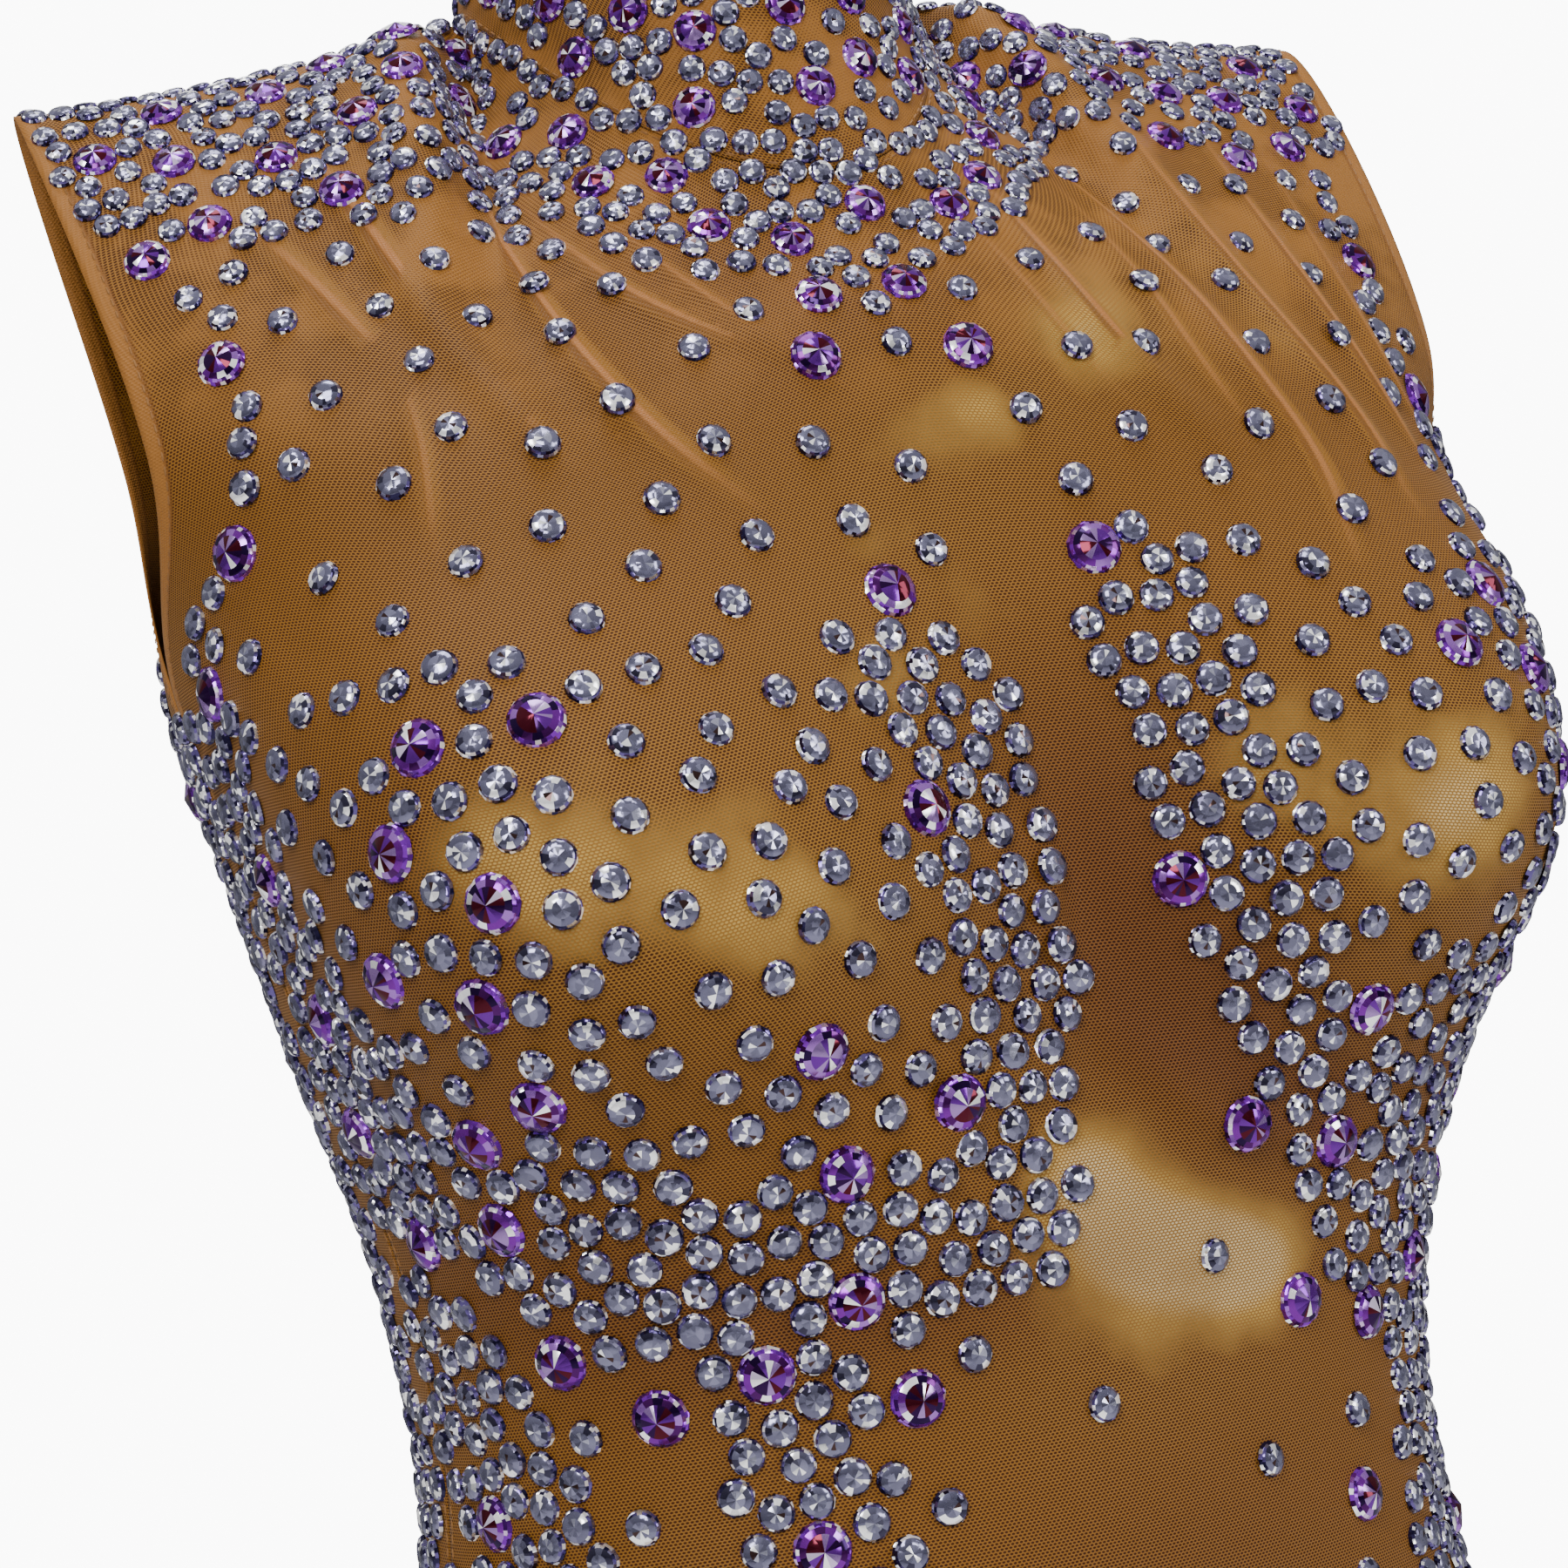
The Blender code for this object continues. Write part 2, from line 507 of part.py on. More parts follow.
class Net:
    """The points that one wall's face is joined from, as places on the piece and heights."""

    def __init__(self, piece):
        self.piece = piece
        self.columns, self.rows = columns_of(piece), rows_of(piece)
        across, up = np.meshgrid(self.columns, self.rows)
        self.across, self.up = list(across.ravel()), list(up.ravel())
        self.height = [0.0] * len(self.across)
        self.grid = len(self.across)
        self.dropped = set()
        self.edges = []

    def on_edge(self, index):
        row, column = divmod(index, len(self.columns))
        return row in (0, len(self.rows) - 1) or column in (0, len(self.columns) - 1)

    def clear(self, across, up, radius):
        """Drops the inner points of the net that lie within radius of a place."""
        spot = place_on(self.piece, across, up)[0]
        points = place_on(self.piece, self.across[: self.grid], self.up[: self.grid])
        for index in np.nonzero(np.linalg.norm(points - spot, axis=1) < radius)[0]:
            if not self.on_edge(index):
                self.dropped.add(int(index))

    def add(self, across, up, height):
        first = len(self.across)
        self.across += list(across)
        self.up += list(up)
        self.height += list(height)
        return first

    def add_stone(self, across, up, radius):
        self.clear(across, up, STONE_ROOM * radius)
        ring_across, ring_up = stone_ring(self.piece, across, up, radius)
        first = self.add(ring_across, ring_up, [0.0] * STONE_SIDES)
        self.add([across], [up], [LARGE_RISE * radius / LARGE_RADIUS])
        for i in range(STONE_SIDES):
            self.edges.append((first + i, first + (i + 1) % STONE_SIDES))

    def add_fold(self, fold, keep_off):
        """A ridge: a crest line with a foot line on each side of it."""
        across_scale, up_scale = flat_scale(self.piece)
        run = np.array([(fold.across1 - fold.across0) * across_scale, (fold.up1 - fold.up0) * up_scale])
        square = np.array([-run[1], run[0]]) / np.linalg.norm(run)
        last = None
        for t in np.linspace(0, 1, FOLD_STATIONS):
            across = fold.across0 + (fold.across1 - fold.across0) * t
            up = fold.up0 + (fold.up1 - fold.up0) * t
            spot = place_on(self.piece, across, up)[0]
            if any(np.linalg.norm(spot - stone) < reach + 2 * fold.half_width for stone, reach in keep_off):
                last = None
                continue
            self.clear(across, up, FOLD_ROOM * fold.half_width)
            side_across = fold.half_width * square[0] / across_scale
            side_up = fold.half_width * square[1] / up_scale
            wave = FOLD_START + (FOLD_END - FOLD_START) * t
            height = fold.height * math.sin(math.pi * wave)
            first = self.add(
                [across, across + side_across, across - side_across],
                [up, up + side_up, up - side_up],
                [height, 0.0, 0.0],
            )
            if last is not None:
                self.edges.append((last, first))
            last = first

    def faces(self):
        """Triangles over all points that were kept."""
        across_scale, up_scale = flat_scale(self.piece)
        kept = [i for i in range(len(self.across)) if i not in self.dropped]
        number = {index: i for i, index in enumerate(kept)}
        flat = [(self.across[i] * across_scale, self.up[i] * up_scale) for i in kept]
        edges = [(number[a], number[b]) for a, b in self.edges]
        _, _, faces, origin, _, _ = delaunay_2d_cdt(flat, edges, [], 0, 1e-7)
        return [[kept[origin[corner][0]] for corner in face] for face in faces]


def edge_normals():
    """Shared outward directions where the edges of pieces meet, so that seams are mitred."""
    shared = {}
    for piece in PIECES:
        across, up = np.meshgrid(columns_of(piece), rows_of(piece))
        across, up = across.ravel(), up.ravel()
        points, normals = place_on(piece, across, up), outward_on(piece, across, up)
        for point, normal in zip(points, normals):
            key = tuple(np.round(point, 5) + 0.0)
            shared.setdefault(key, {}).setdefault(piece, normal)
    return shared


def pulled_in(points, columns, rows, seams):
    """Moves each edge of the net inwards along the net by the seam's share."""
    net = points.reshape(rows, columns, 3).copy()
    for edge, near, far in (("low", 0, 1), ("high", -1, -2)):
        step = net[:, far] - net[:, near]
        net[:, near] += step * (seams[edge] / np.maximum(np.linalg.norm(step, axis=1), 1e-6))[:, None]
    for edge, near, far in (("bottom", 0, 1), ("top", -1, -2)):
        step = net[far] - net[near]
        net[near] += step * (seams[edge] / np.linalg.norm(step, axis=1))[:, None]
    return net.reshape(-1, 3)


def seams_of(piece):
    """How far each edge of a piece stops short of its seam."""
    zip_gap = ZIP_HALF + HALF_SEAM
    low = zip_gap if piece in ("back_left", "collar") else HALF_SEAM
    high = zip_gap if piece in ("back_right", "collar") else HALF_SEAM
    if piece.startswith("leg"):
        low = high = 0.0
    return {"low": low, "high": high, "bottom": HALF_SEAM, "top": HALF_SEAM}


def wall_of(piece, stones, shared):
    """One cloth piece as a closed wall. Its stones and folds are raised in its outer face."""
    inner, outer = Net(piece), Net(piece)
    spots = [(place_on(piece, a, u)[0], r) for _, a, u, r in stones]
    if piece == "front":
        for fold in FOLDS:
            inner.add_fold(fold, spots)
            outer.add_fold(fold, spots)
    for _, across, up, radius in stones:
        outer.add_stone(across, up, radius)
    sides = []
    for net, thickness in ((inner, 0.0), (outer, WALL)):
        across, up = np.array(net.across), np.array(net.up)
        points, normals = place_on(piece, across, up), outward_on(piece, across, up)
        for index in range(net.grid):
            met = shared[tuple(np.round(points[index], 5) + 0.0)]
            if net.on_edge(index) and len(met) > 1:
                normals[index] = sum(met.values())
                normals[index] /= np.linalg.norm(normals[index])
        points[: net.grid] = pulled_in(points[: net.grid], len(net.columns), len(net.rows), seams_of(piece))
        points += normals * (np.array(net.height) + thickness)[:, None]
        if piece.startswith("leg"):
            side = 1 if piece == "leg_left" else -1
            points[:, 0] = side * np.maximum(side * points[:, 0], HALF_SEAM)
        sides.append((points, net.faces()))
    return closed_wall(piece, inner, sides)


def closed_wall(piece, net, sides):
    """Joins the outer and the inner face round their edges into one closed solid."""
    columns = len(net.columns)

    def welded(index):
        # Below the crotch a leg's two edges are sewn to each other.
        if index < net.grid and piece.startswith("leg"):
            row, column = divmod(index, columns)
            if column == columns - 1 and net.rows[row] <= CROTCH_Z + 1e-9:
                return row * columns
        return index

    (inner_points, inner_faces), (outer_points, outer_faces) = sides
    verts = [tuple(p) for p in inner_points] + [tuple(p) for p in outer_points]
    shift = len(inner_points)
    faces, count = [], {}
    for face in outer_faces:
        corners = [welded(i) for i in face]
        for pair in zip(corners, corners[1:] + corners[:1]):
            count[pair] = count.get(pair, 0) + 1
        faces.append([i + shift for i in corners])
    for face in inner_faces:
        faces.append([welded(i) for i in face][::-1])
    for a, b in count:
        if (b, a) not in count:
            # Both sides of a seam split their end faces from the point nearer the middle.
            start = a if abs(verts[a][0]) < abs(verts[b][0]) else b
            faces.append([b + shift, a + shift, start])
            faces.append([b + shift if start == a else a + shift, a, b])
    if PIECES[piece].outward < 0:
        faces = [face[::-1] for face in faces]
    used = sorted({i for face in faces for i in face})
    number = {index: i for i, index in enumerate(used)}
    placed = stand(np.array([verts[i] for i in used]))
    return placed, [[number[i] for i in face] for face in faces]


def material_of(name):
    look = LOOKS[name]
    made = bpy.data.materials.new(name)
    made.use_nodes = True
    shader = made.node_tree.nodes["Principled BSDF"]
    shader.inputs["Base Color"].default_value = (*look.colour, 1)
    shader.inputs["Roughness"].default_value = look.roughness
    shader.inputs["Metallic"].default_value = look.metallic
    return made


def add_object(name, points, faces):
    mesh = bpy.data.meshes.new(name)
    mesh.from_pydata([tuple(map(float, p)) for p in points], [], faces)
    mesh.update()
    if name in LOOKS:
        mesh.materials.append(material_of(name))
    made = bpy.data.objects.new(name, mesh)
    bpy.context.scene.collection.objects.link(made)
    mesh.shade_smooth()
    mesh.set_sharp_from_angle(angle=SHARP_ANGLE)
    return made


def add_empty(name, location, rotation=None, parent=None):
    made = bpy.data.objects.new(name, None)
    bpy.context.scene.collection.objects.link(made)
    made.parent = parent
    made.location = location
    if rotation is not None:
        made.rotation_euler = rotation
    return made


def zip_line():
    """The centre back from the hip seam to the collar's top: points and outward directions."""
    body = rows_of("back_left")
    up = np.linspace(0, 1, COLLAR_ROWS + 1)[1:]
    points = np.vstack([bodice("back", np.zeros(len(body)), body), collar(np.full(len(up), 2.0), up)])
    run = np.gradient(points, axis=0)
    normal = np.stack([np.zeros(len(points)), run[:, 2], -run[:, 1]], -1)
    return points, normal / np.linalg.norm(normal, axis=1)[:, None]


def make_zip():
    """The closed zip: a narrow band level with the cloth and its raised row of teeth."""
    points, normals = zip_line()
    points[0, 2] += HALF_SEAM
    half, foot, crest = ZIP_HALF, TEETH_HALF + TEETH_SLOPE, WALL + ZIP_RISE
    profile = [(-half, 0), (half, 0), (half, WALL), (foot, WALL), (TEETH_HALF, crest)]
    profile += [(-TEETH_HALF, crest), (-foot, WALL), (-half, WALL)]
    verts, faces = [], []
    for point, normal in zip(points, normals):
        verts += [point + normal * out + np.array([side, 0, 0]) for side, out in profile]
    n = len(profile)
    for row in range(len(points) - 1):
        for i in range(n):
            a, b = row * n + i, row * n + (i + 1) % n
            faces.append([a, b, b + n, a + n])
    faces.append(list(range(n))[::-1])
    faces.append([len(verts) - n + i for i in range(n)])
    return add_object("zip_chain", stand(np.array(verts)), faces)


def slider_seat():
    """An empty where the slider sits on the teeth: its Y points outwards and its Z up the zip."""
    points, normals = zip_line()
    low = len(rows_of("back_left")) - 1
    place = low + SLIDER_UP * COLLAR_ROWS
    row, part = int(place), place - int(place)
    point = points[row] * (1 - part) + points[row + 1] * part
    outward = normals[row] * (1 - part) + normals[row + 1] * part
    seat = point + outward * (WALL + ZIP_RISE + 2 * HALF_SEAM)
    tilt = math.atan2(outward[2], outward[1])
    return add_empty("slider_seat", stand(seat[None])[0], (tilt, 0, 0))


def block(name, low, high):
    """A box from its low to its high corner: sideways, outwards and up the zip."""
    corners = [(x, y, z) for z in (low[2], high[2]) for y in (low[1], high[1]) for x in (low[0], high[0])]
    faces = [[0, 2, 3, 1], [4, 5, 7, 6], [0, 1, 5, 4], [2, 6, 7, 3], [0, 4, 6, 2], [1, 3, 7, 5]]
    return add_object(name, corners, faces)


def combine(target, cutter, operation):
    """Applies a Boolean at once and removes its helper."""
    modifier = target.modifiers.new("combine", "BOOLEAN")
    modifier.operation = operation
    modifier.object = cutter
    bpy.context.view_layer.update()
    result = bpy.data.meshes.new_from_object(target.evaluated_get(bpy.context.evaluated_depsgraph_get()))
    target.modifiers.clear()
    target.data = result
    bpy.data.objects.remove(cutter)


def make_slider(seat):
    """The slider body with the arched bridge that holds the pull tab."""
    half_wide, half_high = SLIDER_WIDE / 2, SLIDER_HIGH / 2
    body = block("zip_slider", (-half_wide, 0, -half_high), (half_wide, SLIDER_DEEP, half_high))
    top = SLIDER_DEEP + BRIDGE_OUT
    half, high = BRIDGE_WIDE / 2, BRIDGE_HALF_HIGH
    bridge = block("bridge", (-half, SLIDER_DEEP - BRIDGE_SUNK, -high), (half, top, high))
    eye = high - BRIDGE_BAR
    hole = block("hole", (-BRIDGE_WIDE, SLIDER_DEEP, -eye), (BRIDGE_WIDE, top - BRIDGE_BAR, eye))
    combine(bridge, hole, "DIFFERENCE")
    combine(body, bridge, "UNION")
    body.parent = seat
    return body


def make_tab(seat):
    """The pull tab. It hangs from its own top bar, which runs through the bridge."""
    half = TAB_THICK / 2
    tab = block("zip_pull_tab", (-TAB_HALF_WIDE, -half, -TAB_LONG), (TAB_HALF_WIDE, half, half))
    low = (-WINDOW_HALF_WIDE, -TAB_THICK, -WINDOW_END)
    combine(tab, block("window", low, (WINDOW_HALF_WIDE, TAB_THICK, -half)), "DIFFERENCE")
    tab.parent = add_empty("pull_pivot", (0, SLIDER_DEEP + PIVOT_OUT, -PIVOT_DOWN), parent=seat)
    return tab


def main():
    for old in list(bpy.data.objects):
        bpy.data.objects.remove(old)
    stones = large_stones()
    shared = edge_normals()
    for piece in PIECES:
        own = [stone for stone in stones if stone[0] == piece]
        points, faces = wall_of(piece, own, shared)
        add_object(piece, points, faces)
        print(f"{piece}: {len(own)} large stones, {len(faces)} faces")
    make_zip()
    seat = slider_seat()
    make_slider(seat)
    make_tab(seat)


main()
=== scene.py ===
# %% [markdown]
# # A stage jumpsuit of stretch net with foiled stones
# The real garment is cut from sheer stretch net, sewn into a close body suit and then covered by hand
# with flat-backed stones. It takes the shape of whoever wears it, so here it stands filled out and
# hollow. The solid model already fixes where everything lies. This script only gives it looks, so it
# starts by loading that model as a frame that must not move.

# %% Load the frame
import math
import random
from collections import namedtuple
from functools import partialmethod

import bpy
import numpy as np
from mathutils import Matrix, Vector


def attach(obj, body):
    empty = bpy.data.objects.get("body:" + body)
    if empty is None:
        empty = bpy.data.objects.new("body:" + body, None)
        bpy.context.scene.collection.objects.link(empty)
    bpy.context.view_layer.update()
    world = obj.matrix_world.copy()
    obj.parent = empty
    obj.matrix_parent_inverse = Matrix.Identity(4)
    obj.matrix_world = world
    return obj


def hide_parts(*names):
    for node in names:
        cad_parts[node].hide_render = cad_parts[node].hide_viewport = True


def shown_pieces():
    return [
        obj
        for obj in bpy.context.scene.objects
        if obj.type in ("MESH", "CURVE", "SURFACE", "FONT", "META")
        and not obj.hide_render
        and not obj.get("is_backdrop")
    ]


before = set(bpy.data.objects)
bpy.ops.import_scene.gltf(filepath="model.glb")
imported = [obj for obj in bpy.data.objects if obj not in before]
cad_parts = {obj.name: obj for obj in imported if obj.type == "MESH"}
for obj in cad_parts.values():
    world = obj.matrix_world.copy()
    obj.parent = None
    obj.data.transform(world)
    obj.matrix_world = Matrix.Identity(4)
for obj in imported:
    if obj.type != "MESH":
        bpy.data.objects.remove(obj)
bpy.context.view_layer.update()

print("nodes:", sorted(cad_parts))

# %% [markdown]
# ## The body sections
# A dressmaker's form is a stack of level sections, so the cloth is worked out the same way. Each row
# of the table is one section: how wide, how deep in front and behind, and how square. A smooth curve
# joins the sections, which is far shorter than a list of points and easy to change. Two numbers name
# any place on the cloth: how far across its piece and how far up.

# %% Sections and stance
WALL = 0.0015
HALF_SEAM = 0.00015
ZIP_HALF = 0.003

Section = namedtuple("Section", "z half_width side_y front_y back_y square")
SECTIONS = [Section(*row) for row in (
    (-0.47, 0.158, 0.01, -0.098, 0.12, 0.0),
    (-0.42, 0.138, 0.008, -0.089, 0.104, 0.02),
    (-0.36, 0.125, 0.004, -0.086, 0.084, 0.03),
    (-0.3, 0.131, 0.0, -0.088, 0.086, 0.04),
    (-0.24, 0.148, -0.002, -0.08, 0.094, 0.04),
    (-0.165, 0.162, 0.0, -0.082, 0.1, 0.04),
)]
Notch = namedtuple("Notch", "side_x side_y side_z centre_y centre_z wrap")
NOTCHES = {
    "front": Notch(0.163, -0.034, -0.107, -0.081, -0.108, math.radians(63)),
    "back": Notch(0.156, 0.042, -0.095, 0.092, -0.085, math.radians(55)),
}
NOTCH_UP, TOP_UP, COLLAR_UP = -0.095, -0.020, 0.045
SHOULDER = (0.168, 0.004, -0.018)
NECK_SIDE = (0.055, 0.000, 0.000)
NECK_MIDDLE = {"front": (-0.063, -0.062), "back": (0.050, -0.008)}
COLLAR_HALF = 0.050
COLLAR_MIDDLE = {"front": (-0.056, 0.026), "back": (0.038, 0.058)}
NECK_SHARE, NECK_DIP, SHOULDER_FALL = 0.45, 1.3, 1.8
NECK_BLEND, SIDE_BLEND, NECK_SMOOTH = 0.12, 0.40, 0.18
BUST_ACROSS, BUST_UP, BUST_HEIGHT, BUST_SPREAD = 0.37, -0.228, 0.044, 0.33
BUST_ABOVE, BUST_BELOW, BUST_FADE, BUST_TURN = 0.078, 0.050, 0.30, 0.9

TURN = math.radians(10)
TURN_FROM, TURN_TO = -0.10, -0.42
Lean = namedtuple("Lean", "z x")
LEANS = [Lean(*row) for row in (
    (-1.33, -0.008),
    (-0.47, -0.008),
    (-0.36, -0.001),
    (-0.24, 0.007),
    (-0.165, 0.006),
    (-0.1, 0.001),
    (0.0, -0.009),
    (0.1, -0.009),
)]

LegSection = namedtuple("LegSection", "z parting outer_x middle_y front_depth back_depth")
LEG_SECTIONS = [LegSection(*row) for row in (
    (-0.47, 0.0, 0.158, 0.01, 0.108, 0.11),
    (-0.52, 0.0, 0.169, 0.012, 0.108, 0.12),
    (-0.57, 0.35, 0.175, 0.012, 0.105, 0.125),
    (-0.615, 0.65, 0.176, 0.012, 0.101, 0.121),
    (-0.645, 0.86, 0.175, 0.012, 0.097, 0.112),
    (-0.662, 1.0, 0.174, 0.012, 0.094, 0.104),
    (-0.7, 1.06, 0.17, 0.011, 0.09, 0.097),
    (-0.78, 1.14, 0.161, 0.009, 0.083, 0.086),
    (-0.88, 1.3, 0.149, 0.006, 0.071, 0.072),
    (-0.97, 1.52, 0.143, 0.002, 0.061, 0.056),
    (-1.06, 1.6, 0.146, 0.008, 0.055, 0.062),
    (-1.15, 1.76, 0.145, 0.012, 0.049, 0.058),
    (-1.24, 2.3, 0.139, 0.014, 0.042, 0.045),
    (-1.33, 2.7, 0.139, 0.013, 0.039, 0.039),
)]
CROTCH_Z, HIP_Z, HEM_Z, ARM_Z = -0.662, SECTIONS[0].z, LEG_SECTIONS[-1].z, SECTIONS[-1].z
print("sections:", len(SECTIONS), "of the body and", len(LEG_SECTIONS), "of a leg")


# %% Curves through the sections
def smooth(t):
    t = np.clip(t, 0, 1)
    return t * t * (3 - 2 * t)


def centred_slopes(knots, rows):
    slopes = []
    for i in range(len(knots)):
        low, high = max(i - 1, 0), min(i + 1, len(knots) - 1)
        slopes.append((rows[high] - rows[low]) / (knots[high] - knots[low]))
    return slopes


def curve_at(knots, rows, slopes, v):
    """Cubic pieces through the rows with the slopes given. Each row may hold one entry per v."""
    knots = np.asarray(knots)
    low = np.clip(np.searchsorted(knots, v, side="right") - 1, 0, len(knots) - 2)
    step = knots[low + 1] - knots[low]
    t = (v - knots[low]) / step
    pick = np.arange(len(v))
    rows, slopes = np.array(rows), np.array(slopes)
    if rows.ndim > 1:
        near, far = rows[low, pick], rows[low + 1, pick]
        leave, reach = slopes[low, pick], slopes[low + 1, pick]
        t, step = t[:, None], step[:, None]
    else:
        near, far, leave, reach = rows[low], rows[low + 1], slopes[low], slopes[low + 1]
    return (
        near * (2 * t**3 - 3 * t**2 + 1)
        + leave * step * (t**3 - 2 * t**2 + t)
        + far * (3 * t**2 - 2 * t**3)
        + reach * step * (t**3 - t**2)
    )


def level_ring(s, side, centre, wrap, square):
    turn = s * wrap
    x = (np.sin(turn) + square * np.sin(3 * turn)) / (math.sin(wrap) + square * math.sin(3 * wrap))
    deep = np.cos(turn) - square * np.cos(3 * turn)
    deep_side = math.cos(wrap) - square * math.cos(3 * wrap)
    share = (deep - deep_side) / (1 - square - deep_side)
    y = side[1] + (centre[0] - side[1]) * share
    z = side[2] + (centre[1] - side[2]) * np.cos(s * math.pi / 2) ** 2
    return np.stack([side[0] * x, y, z], -1)


def top_edge(s, half):
    turn = np.clip(s / NECK_SHARE, 0, 1) * math.pi / 2
    middle_y, middle_z = NECK_MIDDLE[half]
    x0, y0, z0 = NECK_SIDE
    fall = np.cos(turn) ** (NECK_DIP if half == "front" else 1.0)
    neck = np.stack(
        [x0 * np.sin(turn), y0 + (middle_y - y0) * np.cos(turn), z0 + (middle_z - z0) * fall], -1
    )
    t = np.clip((s - NECK_SHARE) / (1 - NECK_SHARE), 0, 1)
    x1, y1, z1 = SHOULDER
    drop = 1 - (1 - t) ** SHOULDER_FALL
    shoulder = np.stack([x0 + (x1 - x0) * t, y0 + (y1 - y0) * t, z0 + (z1 - z0) * drop], -1)
    return np.where((s <= NECK_SHARE)[:, None], neck, shoulder)


def collar_edge(s, half):
    turn = np.clip(s / NECK_SHARE, 0, 1) * math.pi / 2
    front, back = COLLAR_MIDDLE["front"], COLLAR_MIDDLE["back"]
    y0, z0 = (front[0] + back[0]) / 2, (front[1] + back[1]) / 2
    y1, z1 = COLLAR_MIDDLE[half]
    x = COLLAR_HALF * np.sin(turn)
    return np.stack([x, y0 + (y1 - y0) * np.cos(turn), z0 + (z1 - z0) * np.cos(turn)], -1)


def notch_ring(s, half):
    n = NOTCHES[half]
    return level_ring(s, (n.side_x, n.side_y, n.side_z), (n.centre_y, n.centre_z), n.wrap, 0.0)


print("smooth(0.5) =", float(smooth(0.5)))


# %% [markdown]
# ## Points on the cloth
# These functions turn a place on a piece, across and up, into a point of the garment. The bust is a
# gentle swell that fades out before every seam, so neighbouring pieces still meet edge to edge.
# The stance comes last: the hips turn a little and each level shifts sideways, as in the photo.

# %% Points on each piece
def bodice(half, across, up):
    s = np.abs(across)
    knots, rows = [], []
    for level in SECTIONS:
        middle_y = level.front_y if half == "front" else level.back_y
        side = (level.half_width, level.side_y, level.z)
        knots.append(level.z)
        rows.append(level_ring(s, side, (middle_y, level.z), math.pi / 2, level.square))
    other = "back" if half == "front" else "front"
    past_neck = smooth((s - NECK_SHARE) / NECK_BLEND)[:, None]
    beyond = collar_edge(s, half) * (1 - past_neck) + notch_ring(s, other) * past_neck
    knots += [NOTCH_UP, TOP_UP, COLLAR_UP]
    rows += [notch_ring(s, half), top_edge(s, half), beyond]
    slopes = centred_slopes(knots, rows)
    arm, top = len(SECTIONS) - 1, len(rows) - 2
    by_side = smooth((s - 1 + SIDE_BLEND) / SIDE_BLEND)[:, None]
    below = (rows[arm] - rows[arm - 1]) / (knots[arm] - knots[arm - 1])
    slopes[arm] = slopes[arm] * (1 - by_side) + below * by_side
    by_neck = smooth(1 - np.abs(s - NECK_SHARE) / NECK_SMOOTH)[:, None]
    above = (rows[top + 1] - rows[top]) / (knots[top + 1] - knots[top])
    slopes[top] = slopes[top] * (1 - by_neck) + above * by_neck
    points = curve_at(knots, rows, slopes, up)
    if half == "front":
        rise = np.where(up > BUST_UP, BUST_ABOVE, BUST_BELOW)
        swell = np.exp(-(((s - BUST_ACROSS) / BUST_SPREAD) ** 2) - ((up - BUST_UP) / rise) ** 2)
        swell *= smooth((1 - s) / BUST_FADE) * smooth((TOP_UP - up) / BUST_ABOVE)
        points[:, 0] += BUST_HEIGHT * swell * np.sin(BUST_TURN * s)
        points[:, 1] -= BUST_HEIGHT * swell * np.cos(BUST_TURN * s)
    points[:, 0] *= np.where(across < 0, -1, 1)
    return points


def collar(across, up):
    side = np.abs(across)
    sign = np.where(across < 0, -1, 1)
    s = sign * NECK_SHARE * np.where(side <= 1, side, 2 - side)
    v = TOP_UP + (COLLAR_UP - TOP_UP) * up
    return np.where((side <= 1)[:, None], bodice("front", s, v), bodice("back", s, v))


def leg(across, z):
    knots = [-level.z for level in LEG_SECTIONS]
    columns = {}
    for name in LegSection._fields[1:]:
        values = [getattr(level, name) for level in LEG_SECTIONS]
        columns[name] = curve_at(knots, values, centred_slopes(knots, values), -z)
    parting = columns["parting"]
    half = columns["outer_x"] / (1 + parting)
    turn = (2 * across - 1) * np.arccos(-np.clip(parting, 0, 1))
    deep = np.where(turn < 0, columns["front_depth"], columns["back_depth"])
    x = half * (parting + np.cos(turn))
    return np.stack([x, columns["middle_y"] + deep * np.sin(turn), z], -1)


def place_on(piece, across, up):
    across = np.atleast_1d(np.asarray(across, float))
    up = np.atleast_1d(np.asarray(up, float))
    if piece == "front":
        return bodice("front", across, up)
    if piece.startswith("back"):
        return bodice("back", across, up)
    if piece == "collar":
        return collar(across, up)
    points = leg(across, up)
    if piece == "leg_right":
        points[:, 0] *= -1
    return points


Piece = namedtuple("Piece", "low high bottom top outward")
PIECES = {
    "front": Piece(-1, 1, HIP_Z, TOP_UP, 1),
    "back_left": Piece(0, 1, HIP_Z, TOP_UP, -1),
    "back_right": Piece(-1, 0, HIP_Z, TOP_UP, -1),
    "collar": Piece(-2, 2, 0, 1, 1),
    "leg_left": Piece(0, 1, HEM_Z, HIP_Z, 1),
    "leg_right": Piece(0, 1, HEM_Z, HIP_Z, -1),
}
SLOPE_STEP = 0.002


def slopes_on(piece, across, up):
    reach = PIECES[piece]
    left = np.maximum(across - SLOPE_STEP, reach.low)
    right = np.minimum(across + SLOPE_STEP, reach.high)
    low = np.maximum(up - SLOPE_STEP, reach.bottom)
    high = np.minimum(up + SLOPE_STEP, reach.top)
    along = place_on(piece, right, up) - place_on(piece, left, up)
    rise = place_on(piece, across, high) - place_on(piece, across, low)
    return along / (right - left)[:, None], rise / (high - low)[:, None]


def outward_on(piece, across, up):
    along, rise = slopes_on(piece, across, up)
    normal = np.cross(along, rise) * PIECES[piece].outward
    return normal / np.linalg.norm(normal, axis=1)[:, None]


